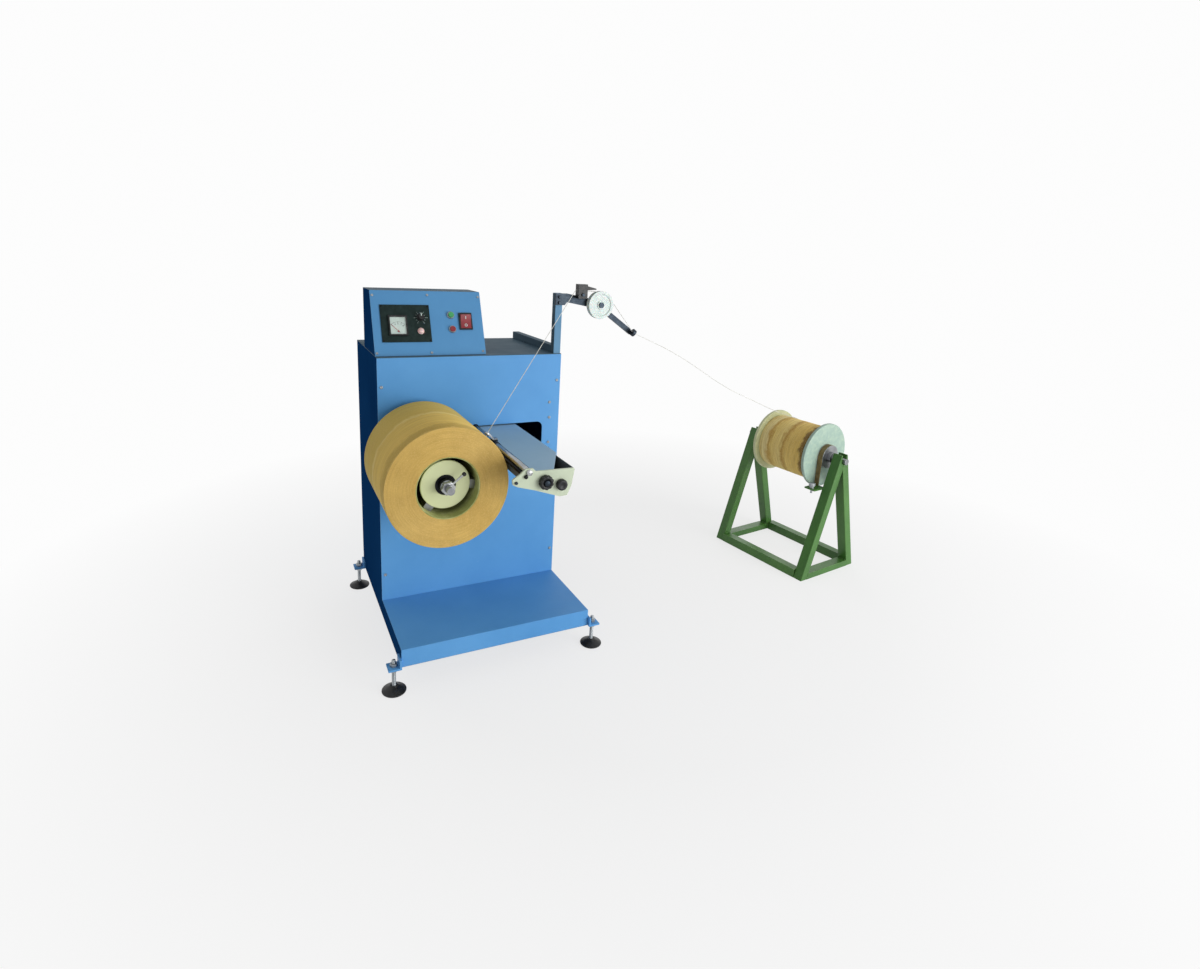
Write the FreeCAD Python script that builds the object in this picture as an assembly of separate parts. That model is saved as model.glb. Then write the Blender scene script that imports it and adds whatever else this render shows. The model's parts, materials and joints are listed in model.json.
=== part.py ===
"""Wire coil winding machine with its pay-off stand, as separate named pieces.

Modelled in millimetres. While it is drawn, X runs to the right along the cabinet's front
from its left edge, Y runs back from the front panel and Z runs up from the floor. At the end
everything is moved so that the origin is the centre of the footprint, on the floor.
"""
import FreeCAD, Part
import math
import os

V = FreeCAD.Vector
X_AXIS = V(1, 0, 0)
Y_AXIS = V(0, 1, 0)
Z_AXIS = V(0, 0, 1)

# ---------------------------------------------------------------- clearances
running_gap = 0.05      # radial, shaft in a plain bore
sliding_gap = 0.1       # radial, guide bar in the carriage
moving_gap = 0.3        # between pieces that move past each other
screw_gap = 0.2         # radial, screw in a sheet
seat_gap = 0.1          # radial, piece clamped on a shaft or in a tube

# ---------------------------------------------------------------- base and feet
base_width = 600.0
base_front = 294.0          # how far the base stands out in front of the cabinet
base_underside = 75.0
base_skirt_height = 56.0
base_sheet = 3.0
lug_reach = 38.0
lug_width = 40.0
lug_thickness = 6.0
lug_rise = 30.0
foot_out = 20.0             # stem centre outside the base's side
foot_from_front = 8.0
foot_from_rear = 17.0
stem_radius = 6.0
stem_top = 130.0
foot_nut_across = 19.0
foot_nut_height = 10.0
pad_radius = 35.0
pad_rim_height = 5.0
pad_height = 20.0
pad_neck_radius = 11.0

# ---------------------------------------------------------------- cabinet
cabinet_depth = 386.0
cabinet_top = 924.0
panel_sheet = 2.0
panel_return = 18.0
screw_radius_small = 2.5
mast_size = 25.0
mast_wall = 2.5
mast_rise = 198.0           # mast above the cabinet's top
rail_height = 25.0
window_left = 290.0         # opening in the front panel for the traverse
window_from_right = 60.0
window_bottom = 600.0
window_top = 694.0
window_corner = 20.0
window_screw_aside = 25.0   # screw and spare hole, right of the window
bar_relief = 4.0            # round notches in the window's edge for the bars
window_screw_hole = 4.0     # radius of the spare hole
spindle_hole_radius = 42.0
louvre_length = 90.0
louvre_height = 9.0
louvre_rise = 7.0           # how far a hood stands out
louvre_sheet = 1.2
louvre_pitch = 22.0
louvre_rows = 6
gland_z = 200.0
gland_from_right = 120.0
gland_bore = 6.5
gland_radius = 13.0
gland_length = 24.0

# ---------------------------------------------------------------- control box
box_width = 345.0
box_front = 23.5            # where the sloping face meets the cabinet top
box_lean = 81.0             # how far the face leans back
box_height = 189.5
box_rear = 225.0
box_sheet = 1.5
plate_left = 25.0           # instrument plate, measured on the face
plate_right = 175.0
plate_bottom = 42.0
plate_top = 160.0
plate_thickness = 3.0
meter_left = 47.0
meter_right = 103.0
meter_bottom = 62.0
meter_top = 125.0
meter_depth = 9.0
meter_rim = 4.0
needle_length = 30.0
needle_lift = 5.0
knob_at = (146.0, 119.0)
knob_radius = 11.5
knob_height = 14.0
lamp_at = (143.0, 76.0)
lamp_radius = 10.0
start_at = (242.0, 128.0)
stop_at = (243.5, 82.0)
button_radius = 9.0
button_bezel_radius = 12.0
button_travel = 3.0
rocker_left = 267.5
rocker_right = 309.5
rocker_bottom = 80.0
rocker_top = 135.0
rocker_rim = 4.0
rocker_tilt = 9.0
face_screws_at = ((7, 190), (174, 193), (338, 189), (6, 9), (171, 8), (336, 10))

# ---------------------------------------------------------------- spindle and mandrel
spindle_x = 124.0
spindle_z = 621.0
spindle_radius = 15.0
spindle_rear = 300.0
spindle_front = -364.0
nose_radius = 11.0          # threaded front end of the spindle
coil_radius = 172.0
core_outer = 88.4
core_wall = 2.5
coil_front = -340.0
coil_rear = -27.0
flange_radius = 160.0
flange_thickness = 8.0
drum_radius = 60.0
drum_wall = 5.0
drum_front = -300.0
drum_web = 10.0
jaw_width = 26.0
jaw_angles = (-6.0, 114.0, 234.0)
disc_radius = 69.4
disc_thickness = 6.0
collar_radius = 21.0
collar_length = 24.0
nut_across = 34.0
nut_length = 18.0
lever_radius = 4.0
lever_length = 44.0
lever_angle = 38.5

# ---------------------------------------------------------------- drive
beam_width = 50.0
beam_height = 40.0
beam_wall = 4.0
front_beam_y = 32.0
rear_beam_y = 230.0
bearing_height = 36.0       # shaft centre above the beam
bearing_length = 34.0
bearing_base = 124.0
bearing_body = 31.0
bearing_foot = 13.0
belt_plane = 135.0          # Y of the vee belt's middle
groove_depth = 12.0
groove_half_angle = 19.0
belt_top_width = 12.6
belt_height = 8.0
pulley_width = 22.0
big_pulley_radius = 100.0
small_pulley_radius = 38.0
motor_x = 215.0
motor_z = 226.0
motor_radius = 62.0
motor_front = 168.0
motor_length = 180.0
motor_shaft_radius = 14.0
toothed_plane = 100.0       # Y of the traverse drive belt's middle
toothed_radius = 24.0
toothed_width = 16.0
toothed_belt_width = 12.0
toothed_belt_thickness = 3.0

# ---------------------------------------------------------------- traverse
screw_x = 351.0
screw_z = 658.5
screw_radius = 11.0
journal_radius = 7.9        # ends of the screw, in the end plates
traverse_front = -457.0
traverse_rear = 78.0
channel_left = 300.0
channel_right = 436.0
channel_bottom = 615.0
channel_sheet = 3.0
channel_left_top = 666.0
channel_slope_top = 650.0   # the floor slopes from here on the left side
channel_flat_left = 396.0   # down to its level part
channel_flat_right = 416.0
channel_knee_x = 428.0      # fold in the right wall
channel_knee_z = 640.0
channel_lip = 14.0          # upright top of the right wall, under the cover
cover_top = 690.0
cover_sheet = 2.0
cover_left = 318.0
cover_right = 444.0
cover_rear = 28.0
cover_lip = 10.0
cover_cut_back = 130.0      # the slanted front right corner, along the right edge
cover_cut_across = 66.0     # and along the front edge
end_plate_thickness = 6.0
front_bar_x = 304.5         # polished guide bar beside the cover
front_bar_z = 688.5
front_bar_radius = 8.0
inner_bar_x = 378.0
inner_bar_z = 641.0
inner_bar_radius = 8.0
trip_rod_x = 295.0
trip_rod_z = 678.0
trip_rod_radius = 5.0
plate_corner = 4.0          # rounding of the end plate's outline
nose_bolt_x = 268.5
nose_bolt_z = 663.5
nose_bolt_radius = 2.5
bar_reach = 6.0             # bar and rod ends in front of the end plate
hand_knob_radius = 20.0
hand_knob_length = 16.0
width_knob_x = 397.5
width_knob_z = 646.5
width_knob_radius = 15.5
width_knob_length = 14.0
carriage_y = -187.4
carriage_half = 22.0
sleeve_wall = 3.0
carriage_left = 325.0
carriage_right = 420.0
carriage_bottom = 622.0
carriage_top = 682.0
carriage_floor_gap = 4.0    # above the channel's sloping floor

# ---------------------------------------------------------------- wire and its guides
wire_radius = 1.0
wire_lay_gap = 0.3
eyelet = V(280.8, -187.4, 721.0)    # middle of the eyelet on the carriage
eyelet_radius = 6.0
eyelet_bore = 1.45
eyelet_length = 5.0
arm_strip = 4.0
arm_half_width = 8.0
wire_plane = -14.0                  # Y of the guide pulley's groove
pulley_from_mast = 130.8            # pulley's axle, right of the mast
pulley_drop = 35.0                  # and below its top
guide_pulley_radius = 46.0
guide_pulley_half = 9.7
guide_groove_radius = 41.0
axle_radius = 5.0
arm_height = 28.0
arm_thickness = 6.0
arm_front = -2.0
rod_height = 18.0
rod_thickness = 8.0
ring_from_pulley = 137.2
ring_drop = 94.0
ring_radius = 12.5
ring_bore = 3.0
ring_length = 10.0
block_from_mast = 43.0
block_length = 33.0
block_drop = 14.0                   # block's underside below the mast's top
block_height = 46.0
block_half = 12.0
block_hole_height = 25.7            # above the block's underside
block_hole_radius = 2.0

# ---------------------------------------------------------------- pay-off stand
stand_from_mast = 1159.2
stand_y = 34.2
stand_turn = 7.2
stand_length = 476.0        # along the spool shaft, over the legs
stand_width = 340.0
stand_height = 517.0
leg_depth = 40.0
leg_width = 36.0
leg_wall = 3.0
cross_bar_height = 26.0
side_rail_height = 36.0
shaft_height = 490.0
shaft_radius = 12.5
shaft_overhang = 12.0
spool_offset = -13.0
spool_half = 133.5
spool_flange_radius = 134.0
spool_flange_thickness = 14.0
spool_barrel_radius = 62.0
winding_radius = 115.0
winding_gap = 0.5
stop_collar_radius = 22.0
stop_collar_length = 14.0
brake_drum_radius = 46.0
brake_drum_length = 26.0
brake_band_thickness = 3.0
brake_band_width = 20.0


# ================================================================ small helpers
def box(x0, x1, y0, y1, z0, z1):
    return Part.makeBox(x1 - x0, y1 - y0, z1 - z0, V(x0, y0, z0))


def rod(start, direction, radius, length):
    return Part.makeCylinder(radius, length, start, direction)


def rod_y(x, z, y0, y1, radius):
    return Part.makeCylinder(radius, y1 - y0, V(x, y0, z), Y_AXIS)


def tube_y(x, z, y0, y1, outer, inner):
    return rod_y(x, z, y0, y1, outer).cut(rod_y(x, z, y0 - 1, y1 + 1, inner))


def prism_y(outline, y0, y1):
    """Outline of (x, z) points, pushed from y0 to y1."""
    points = [V(x, y0, z) for x, z in outline]
    face = Part.Face(Part.makePolygon(points + points[:1]))
    return face.extrude(V(0, y1 - y0, 0))


def prism_x(outline, x0, x1):
    """Outline of (y, z) points, pushed from x0 to x1."""
    points = [V(x0, y, z) for y, z in outline]
    face = Part.Face(Part.makePolygon(points + points[:1]))
    return face.extrude(V(x1 - x0, 0, 0))


def prism_z(outline, z0, z1):
    """Outline of (x, y) points, pushed from z0 to z1."""
    points = [V(x, y, z0) for x, y in outline]
    face = Part.Face(Part.makePolygon(points + points[:1]))
    return face.extrude(V(0, 0, z1 - z0))


def folded(outline, thickness):
    """Cross-section of a folded sheet whose outer face runs through the (x, z) points of outline."""
    normals = []
    for (x0, z0), (x1, z1) in zip(outline, outline[1:]):
        length = math.hypot(x1 - x0, z1 - z0)
        normals.append((-(z1 - z0) / length, (x1 - x0) / length))
    inside = []
    for k, (x, z) in enumerate(outline):
        before = normals[max(k - 1, 0)]
        after = normals[min(k, len(normals) - 1)]
        mitre = thickness / (1 + before[0] * after[0] + before[1] * after[1])
        inside.append((x + (before[0] + after[0]) * mitre, z + (before[1] + after[1]) * mitre))
    return list(outline) + inside[::-1]


def turned(profile, centre, axis):
    """Profile of (radius, distance along the axis) points, turned about the axis."""
    points = [V(r, 0, h) for r, h in profile]
    solid = Part.Face(Part.makePolygon(points + points[:1])).revolve(V(0, 0, 0), Z_AXIS, 360)
    solid.Placement = FreeCAD.Placement(centre, FreeCAD.Rotation(Z_AXIS, axis))
    return solid


def hexagon(centre, axis, across, height):
    corner = across / math.sqrt(3)
    points = [V(corner * math.cos(math.radians(60 * k)), corner * math.sin(math.radians(60 * k)), 0)
              for k in range(6)]
    solid = Part.Face(Part.makePolygon(points + points[:1])).extrude(V(0, 0, height))
    solid.Placement = FreeCAD.Placement(centre, FreeCAD.Rotation(Z_AXIS, axis))
    return solid


def rounded_window(x0, x1, y0, y1, z0, z1, corner):
    """A box along Y whose four long edges are rounded."""
    solid = box(x0, x1, y0, y1, z0, z1)
    edges = [e for e in solid.Edges if abs(e.tangentAt(e.FirstParameter).dot(Y_AXIS)) > 0.99]
    return solid.makeFillet(corner, edges)


def join(shapes):
    result = shapes[0]
    for shape in shapes[1:]:
        result = result.fuse(shape)
    return result.removeSplitter()


def group(shapes):
    return Part.makeCompound(shapes)


def bent_tube(name, points, radius, bends):
    """A round tube along straight runs joined by tangent arcs; bends holds set radii by corner."""
    edges = []
    start = points[0]
    radii = []
    for k in range(1, len(points) - 1):
        before = points[k - 1] - points[k]
        after = points[k + 1] - points[k]
        turn = math.pi - before.getAngle(after)
        reach = 0.45 * min(before.Length, after.Length)
        bend = bends.get(k, reach / math.tan(turn / 2))
        reach = bend * math.tan(turn / 2)
        first = points[k] + V(before).normalize() * reach
        last = points[k] + V(after).normalize() * reach
        to_centre = (V(before).normalize() + V(after).normalize()).normalize()
        middle = points[k] + to_centre * (bend / math.cos(turn / 2) - bend)
        edges.append(Part.LineSegment(start, first).toShape())
        edges.append(Part.Arc(first, middle, last).toShape())
        start = last
        radii.append(round(bend, 1))
    edges.append(Part.LineSegment(start, points[-1]).toShape())
    path = Part.Wire(edges)
    ring = Part.Wire([Part.Circle(points[0], points[1] - points[0], radius).toShape()])
    solid = path.makePipeShell([ring], True, False)
    expected = math.pi * radius ** 2 * path.Length
    print(name, "length", round(path.Length, 1), "bend radii", radii)
    print(name, "volume over section x length", round(solid.Volume / expected, 4))
    return solid


# ================================================================ base and feet
base_top = base_underside + base_skirt_height
foot_places = [(-foot_out, -base_front + foot_from_front),
               (base_width + foot_out, -base_front + foot_from_front),
               (-foot_out, cabinet_depth - foot_from_rear),
               (base_width + foot_out, cabinet_depth - foot_from_rear)]


def base_plate():
    tray = box(0, base_width, -base_front, cabinet_depth, base_underside, base_top)
    inside = box(base_sheet, base_width - base_sheet, -base_front + base_sheet, cabinet_depth - base_sheet,
                 base_underside - 1, base_top - base_sheet)
    return tray.cut(inside)


def foot_lug(x, y):
    side = 0 if x < 0 else base_width
    out = -1 if x < 0 else 1
    reach = side + out * lug_reach
    flat = box(min(side, reach), max(side, reach), y - lug_width / 2, y + lug_width / 2,
               base_underside, base_underside + lug_thickness)
    tall = side + out * lug_thickness
    upright = box(min(side, tall), max(side, tall), y - lug_width / 2, y + lug_width / 2,
                  base_underside, base_underside + lug_rise)
    hole = rod(V(x, y, base_underside - 1), Z_AXIS, stem_radius + screw_gap, lug_thickness + 2)
    return join([flat, upright]).cut(hole)


def foot_lugs():
    return group([foot_lug(x, y) for x, y in foot_places])


def foot_studs():
    """Threaded stems, each locked to its lug by a nut below and a nut above."""
    studs = [rod(V(x, y, pad_height - 6), Z_AXIS, stem_radius, stem_top - pad_height + 6)
             for x, y in foot_places]
    for x, y in foot_places:
        for low in (base_underside - foot_nut_height, base_underside + lug_thickness):
            nut = hexagon(V(x, y, low), Z_AXIS, foot_nut_across, foot_nut_height)
            studs.append(nut.cut(rod(V(x, y, low - 1), Z_AXIS, stem_radius, foot_nut_height + 2)))
    return group(studs)


def foot_pads():
    profile = [(0, 0), (pad_radius - 2, 0), (pad_radius, 2), (pad_radius, pad_rim_height),
               (pad_neck_radius + 4, pad_height - 5), (pad_neck_radius, pad_height - 3),
               (pad_neck_radius, pad_height), (stem_radius, pad_height), (stem_radius, pad_height - 6),
               (0, pad_height - 6)]
    return group([turned(profile, V(x, y, 0), Z_AXIS) for x, y in foot_places])


# ================================================================ cabinet
edge_screws = 12.0          # front panel screws from its sides
front_screws_at = ((edge_screws, cabinet_top - 90), (base_width - edge_screws, cabinet_top - 90),
                   (edge_screws, base_top + 89), (base_width - edge_screws, base_top + 89),
                   (base_width - 36, window_top + 65), (base_width - 35, window_top + 12),
                   (base_width - 35, window_bottom + 18.5))
window_right = base_width - window_from_right
gland_x = base_width - gland_from_right
mast_right = base_width - panel_sheet
mast_top = cabinet_top + mast_rise
mast_front = 2 * panel_sheet
rail_bottom = cabinet_top


def front_panel():
    sheet = box(0, base_width, 0, panel_sheet, base_top, cabinet_top - panel_sheet)
    sheet = sheet.cut(rod_y(spindle_x, spindle_z, -1, panel_sheet + 1, spindle_hole_radius))
    sheet = sheet.cut(rounded_window(window_left, window_right, -1, panel_sheet + 1,
                                     window_bottom, window_top, window_corner))
    for x, z in front_screws_at:
        sheet = sheet.cut(rod_y(x, z, -1, panel_sheet + 1, screw_radius_small + screw_gap))
    for x, z, radius in ((front_bar_x, front_bar_z, front_bar_radius),
                         (trip_rod_x, trip_rod_z, trip_rod_radius)):
        sheet = sheet.cut(rod_y(x, z, -1, panel_sheet + 1, radius + bar_relief))
    spare = rod_y(window_right + window_screw_aside, window_bottom - 3, -1, panel_sheet + 1,
                  window_screw_hole)
    return sheet.cut(spare)


def side_panel(left):
    x0 = 0 if left else base_width - panel_return
    x1 = x0 + panel_return
    inner0 = x0 + panel_sheet if left else x0 - 1
    inner1 = x1 + 1 if left else x1 - panel_sheet
    bottom = base_top
    top = cabinet_top - panel_sheet
    tray = box(x0, x1, panel_sheet, cabinet_depth - panel_sheet, bottom, top)
    tray = tray.cut(box(inner0, inner1, mast_front, cabinet_depth - 2 * panel_sheet, bottom - 1, top + 1))
    for x, z in front_screws_at:
        tray = tray.cut(rod_y(x, z, 0, mast_front + 1, screw_radius_small + screw_gap))
    return tray


def louvre(column, z):
    """Pressed hood over a slot, open at the bottom, and the space that is cut away behind it."""
    x0 = column - louvre_length / 2
    x1 = column + louvre_length / 2
    back = cabinet_depth - panel_sheet - 1
    hood = prism_x([(cabinet_depth - 0.5, z), (cabinet_depth + louvre_rise, z),
                    (cabinet_depth + louvre_rise, z + 2), (cabinet_depth, z + louvre_height + 4),
                    (cabinet_depth - 0.5, z + louvre_height + 4)], x0, x1)
    inner = cabinet_depth + louvre_rise - louvre_sheet
    inside = prism_x([(back, z - 1), (inner, z - 1), (inner, z + 1.4), (cabinet_depth, z + louvre_height),
                      (back, z + louvre_height)], x0 + louvre_sheet, x1 - louvre_sheet)
    below = box(x0 - 1, x1 + 1, cabinet_depth - 0.01, cabinet_depth + louvre_rise + 1, z - 2, z)
    inside = inside.cut(box(x0 - 1, x1 + 1, back - 1, cabinet_depth, z - 2, z))
    return hood, inside.fuse(below)


def rear_cover():
    y0 = cabinet_depth - panel_sheet
    sheet = box(0, base_width, y0, cabinet_depth, base_top, cabinet_top - panel_sheet)
    for column in (base_width * 0.3, base_width * 0.7):
        for row in range(louvre_rows):
            z = cabinet_top - 120 - row * louvre_pitch
            hood, inside = louvre(column, z)
            sheet = sheet.fuse(hood).cut(inside)
    return sheet.cut(rod_y(gland_x, gland_z, y0 - 1, cabinet_depth + 1, gland_radius - 3))


def cable_gland():
    body = rod_y(gland_x, gland_z, cabinet_depth - panel_sheet - 6, cabinet_depth + gland_length - 6,
                 gland_radius - 3)
    flange = hexagon(V(gland_x, cabinet_depth, gland_z), Y_AXIS, 2 * gland_radius, 8)
    cap = rod_y(gland_x, gland_z, cabinet_depth + 8, cabinet_depth + gland_length - 6, gland_radius - 1)
    lock = hexagon(V(gland_x, cabinet_depth - panel_sheet - 5, gland_z), Y_AXIS, 2 * gland_radius, 5)
    bore = rod_y(gland_x, gland_z, cabinet_depth - 20, cabinet_depth + gland_length, gland_bore)
    return join([body, flange, cap, lock]).cut(bore)


def top_panel():
    sheet = box(0, base_width, 0, cabinet_depth, cabinet_top - panel_sheet, cabinet_top)
    notch = box(mast_right - mast_size - moving_gap, base_width + 1, mast_front - moving_gap,
                mast_front + mast_size + moving_gap, cabinet_top - panel_sheet - 1, cabinet_top + 1)
    return sheet.cut(notch)


def front_screws():
    screws = []
    for x, z in front_screws_at:
        head = turned([(0, -3), (3.4, -3), (5, -1.2), (5, 0), (0, 0)], V(x, 0, z), Y_AXIS)
        screws.append(join([head, rod_y(x, z, -0.5, mast_front - 0.1, screw_radius_small)]))
    return screws


def mast():
    x0 = mast_right - mast_size
    post = box(x0, mast_right, mast_front, mast_front + mast_size, base_top, mast_top)
    hollow = box(x0 + mast_wall, mast_right - mast_wall, mast_front + mast_wall,
                 mast_front + mast_size - mast_wall, base_top - 1, mast_top - mast_wall)
    return post.cut(hollow)


def top_rail():
    x0 = mast_right - mast_size
    y0 = mast_front + mast_size
    y1 = cabinet_depth
    bar = box(x0, mast_right, y0, y1, rail_bottom, rail_bottom + rail_height)
    hollow = box(x0 + mast_wall, mast_right - mast_wall, y0 - 1, y1 - mast_wall,
                 rail_bottom + mast_wall, rail_bottom + rail_height - mast_wall)
    return bar.cut(hollow)


# ================================================================ control box
face_length = math.hypot(box_lean, box_height)
face_angle = math.degrees(math.atan2(box_height, box_lean))
face_placement = FreeCAD.Placement(V(0, box_front, cabinet_top), FreeCAD.Rotation(X_AXIS, face_angle))


def on_face(shape):
    """Moves a piece drawn flat (x across, y up the face, z out of it) onto the sloping face."""
    moved = shape.copy()
    moved.Placement = face_placement.multiply(moved.Placement)
    return moved


def face_rod(at, z0, z1, radius):
    return rod(V(at[0], at[1], z0), Z_AXIS, radius, z1 - z0)


def control_box_shell():
    outline = [(box_front, cabinet_top), (box_front + box_lean, cabinet_top + box_height),
               (box_rear, cabinet_top + box_height), (box_rear, cabinet_top)]
    slope = box_lean / box_height
    inside = [(box_front - 20 + slope * box_sheet, cabinet_top + box_sheet),
              (box_front - 20 + box_lean - slope * box_sheet, cabinet_top + box_height - box_sheet),
              (box_rear - box_sheet, cabinet_top + box_height - box_sheet),
              (box_rear - box_sheet, cabinet_top + box_sheet)]
    shell = prism_x(outline, 0, box_width).cut(prism_x(inside, box_sheet, box_width - box_sheet))
    skin = on_face(box(-1, box_width + 1, -30, face_length + 30, -box_sheet, 30))
    return shell.cut(skin)


def control_face():
    sheet = on_face(box(0, box_width, 0, face_length, -box_sheet, 0))
    holes = [on_face(box(meter_left + 2, meter_right - 2, meter_bottom + 2, meter_top - 2, -5, 5)),
             on_face(face_rod(knob_at, -5, 5, 5)), on_face(face_rod(lamp_at, -5, 5, 7)),
             on_face(face_rod(start_at, -5, 5, button_bezel_radius - 1.5)),
             on_face(face_rod(stop_at, -5, 5, button_bezel_radius - 1.5)),
             on_face(box(rocker_left + 2, rocker_right - 2, rocker_bottom + 2, rocker_top - 2, -5, 5))]
    holes += [on_face(face_rod(at, -5, 5, 2 + screw_gap)) for at in face_screws_at]
    for hole in holes:
        sheet = sheet.cut(hole)
    keep = box(-1, box_width + 1, 0, box_rear, cabinet_top, cabinet_top + box_height)
    return sheet.common(keep)


def instrument_plate():
    plate = box(plate_left, plate_right, plate_bottom, plate_top, 0, plate_thickness)
    plate = plate.cut(box(meter_left, meter_right, meter_bottom, meter_top, -1, plate_thickness + 1))
    plate = plate.cut(face_rod(knob_at, -1, plate_thickness + 1, 5))
    plate = plate.cut(face_rod(lamp_at, -1, plate_thickness + 1, 7))
    return on_face(plate)


def meter_case():
    case = box(meter_left, meter_right, meter_bottom, meter_top, 0, meter_depth)
    case = case.fuse(box(meter_left + 2, meter_right - 2, meter_bottom + 2, meter_top - 2, -26, 0))
    hollow = box(meter_left + meter_rim, meter_right - meter_rim, meter_bottom + meter_rim,
                 meter_top - meter_rim, 2, meter_depth + 1)
    post = face_rod(needle_pivot, 2, 3.4, 3)
    return on_face(case.removeSplitter().cut(hollow).fuse(post))


needle_pivot = ((meter_left + meter_right) / 2, meter_bottom + 14)


def meter_needle():
    """Pointer on its staff; drawn at the left end of the scale."""
    blade = box(needle_pivot[0] - 0.6, needle_pivot[0] + 0.6, needle_pivot[1] - 6,
                needle_pivot[1] + needle_length, needle_lift, needle_lift + 0.6)
    hub = face_rod(needle_pivot, 3.4 + moving_gap, needle_lift + 1.2, 2.2)
    pointer = join([blade, hub])
    pointer.rotate(V(needle_pivot[0], needle_pivot[1], 0), Z_AXIS, 45)
    return on_face(pointer)


def meter_window():
    pane = box(meter_left + meter_rim, meter_right - meter_rim, meter_bottom + meter_rim,
               meter_top - meter_rim, meter_depth - 1.8, meter_depth - 0.4)
    return on_face(pane)


def speed_knob():
    skirt = plate_thickness + moving_gap
    top = plate_thickness + knob_height
    profile = [(0, -8), (3, -8), (3, skirt), (knob_radius, skirt), (knob_radius, skirt + 3),
               (knob_radius - 2, skirt + 4), (knob_radius - 2.6, top - 1), (knob_radius - 3.6, top), (0, top)]
    knob = turned(profile, V(knob_at[0], knob_at[1], 0), Z_AXIS)
    mark = box(knob_at[0] - 0.8, knob_at[0] + 0.8, knob_at[1] + 2, knob_at[1] + 12, top - 0.8, top + 1)
    return on_face(knob.cut(mark))


def speed_dial_unit():
    """Body of the speed potentiometer behind the face, whose bore carries the knob's shaft."""
    body = join([face_rod(knob_at, -22, -box_sheet, 11), face_rod(knob_at, -box_sheet, plate_thickness, 4.8)])
    return on_face(body.cut(face_rod(knob_at, -9, plate_thickness + 1, 3 + running_gap)))


def pilot_lamp():
    base = plate_thickness
    profile = [(0, -20), (6.5, -20), (6.5, base), (lamp_radius, base), (lamp_radius, base + 2.5),
               (lamp_radius - 1.6, base + 3), (lamp_radius - 2.4, base + 6), (lamp_radius - 5, base + 8.2),
               (0, base + 9)]
    return on_face(turned(profile, V(lamp_at[0], lamp_at[1], 0), Z_AXIS))


def button_bezels():
    bezels = []
    for at in (start_at, stop_at):
        bore = button_radius + moving_gap
        profile = [(0, -24), (button_bezel_radius - 2, -24), (button_bezel_radius - 2, 0),
                   (button_bezel_radius, 0), (button_bezel_radius, 3), (button_bezel_radius - 1.4, 5),
                   (bore, 5), (bore, -12), (0, -12)]
        bezels.append(on_face(turned(profile, V(at[0], at[1], 0), Z_AXIS)))
    return bezels


def push_button(at):
    profile = [(0, -8), (button_radius, -8), (button_radius, 8), (button_radius - 1, 9), (0, 9)]
    return on_face(turned(profile, V(at[0], at[1], 0), Z_AXIS))


def rocker_frame():
    frame = box(rocker_left, rocker_right, rocker_bottom, rocker_top, 0, 5)
    frame = frame.fuse(box(rocker_left + 2.2, rocker_right - 2.2, rocker_bottom + 2.2, rocker_top - 2.2, -28,
                           0))
    hollow = box(rocker_left + rocker_rim, rocker_right - rocker_rim, rocker_bottom + rocker_rim,
                 rocker_top - rocker_rim, -24, 6)
    return on_face(frame.removeSplitter().cut(hollow))


def rocker_switch():
    """Rocker, drawn tipped to its OFF side; it turns about a line across the frame."""
    middle = (rocker_bottom + rocker_top) / 2
    half = (rocker_top - rocker_bottom) / 2 - rocker_rim - 1.8
    outline = [(-half, 2), (-half, 8), (0, 5.4), (half, 8), (half, 2), (11, -16), (-11, -16)]
    solid = prism_x(outline, rocker_left + rocker_rim + moving_gap, rocker_right - rocker_rim - moving_gap)
    solid.rotate(V(0, 0, 0), X_AXIS, rocker_tilt)
    solid.translate(V(0, middle, 0))
    return on_face(solid)


def face_screws():
    screws = []
    for at in face_screws_at:
        head = face_rod(at, 0, 2.4, 4)
        screws.append(on_face(join([head, face_rod(at, -8, 0.5, 2)])))
    return screws


def speed_drive():
    """Speed controller on the left side panel, with cooling fins."""
    x0 = panel_sheet
    y0 = belt_plane + 65
    body = box(x0, x0 + 90, y0, y0 + 120, 300, 440)
    fins = [box(x0 + 8 + 12 * k, x0 + 12 + 12 * k, y0 + 120, y0 + 134, 305, 435) for k in range(7)]
    return join([body] + fins)


# ================================================================ spindle, mandrel and coil
def spindle_shaft():
    shaft = rod_y(spindle_x, spindle_z, drum_front - disc_thickness, spindle_rear, spindle_radius)
    nose = rod_y(spindle_x, spindle_z, spindle_front, drum_front, nose_radius)
    return join([shaft, nose])


def mandrel_drum():
    rear = coil_rear
    inner = drum_radius - drum_wall
    hub = spindle_radius + 12
    bore = spindle_radius + seat_gap
    profile = [(bore, drum_front), (drum_radius, drum_front), (drum_radius, rear), (inner, rear),
               (inner, drum_front + drum_web), (hub, drum_front + drum_web), (hub, rear), (bore, rear)]
    return turned(profile, V(spindle_x, 0, spindle_z), Y_AXIS)


def mandrel_jaws():
    """Bars along the drum that press on the inside of the core."""
    outer = core_outer - core_wall - seat_gap
    ring = tube_y(spindle_x, spindle_z, drum_front, coil_rear - 6, outer, drum_radius + seat_gap)
    jaws = []
    for angle in jaw_angles:
        bar = Part.makeBox(outer + 5, coil_rear - 6 - drum_front, jaw_width,
                           V(0, drum_front, -jaw_width / 2))
        bar.rotate(V(0, 0, 0), Y_AXIS, -angle)
        bar.translate(V(spindle_x, 0, spindle_z))
        jaws.append(ring.common(bar))
    return jaws


def core_tube():
    return tube_y(spindle_x, spindle_z, coil_front + 2, coil_rear, core_outer, core_outer - core_wall)


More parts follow.
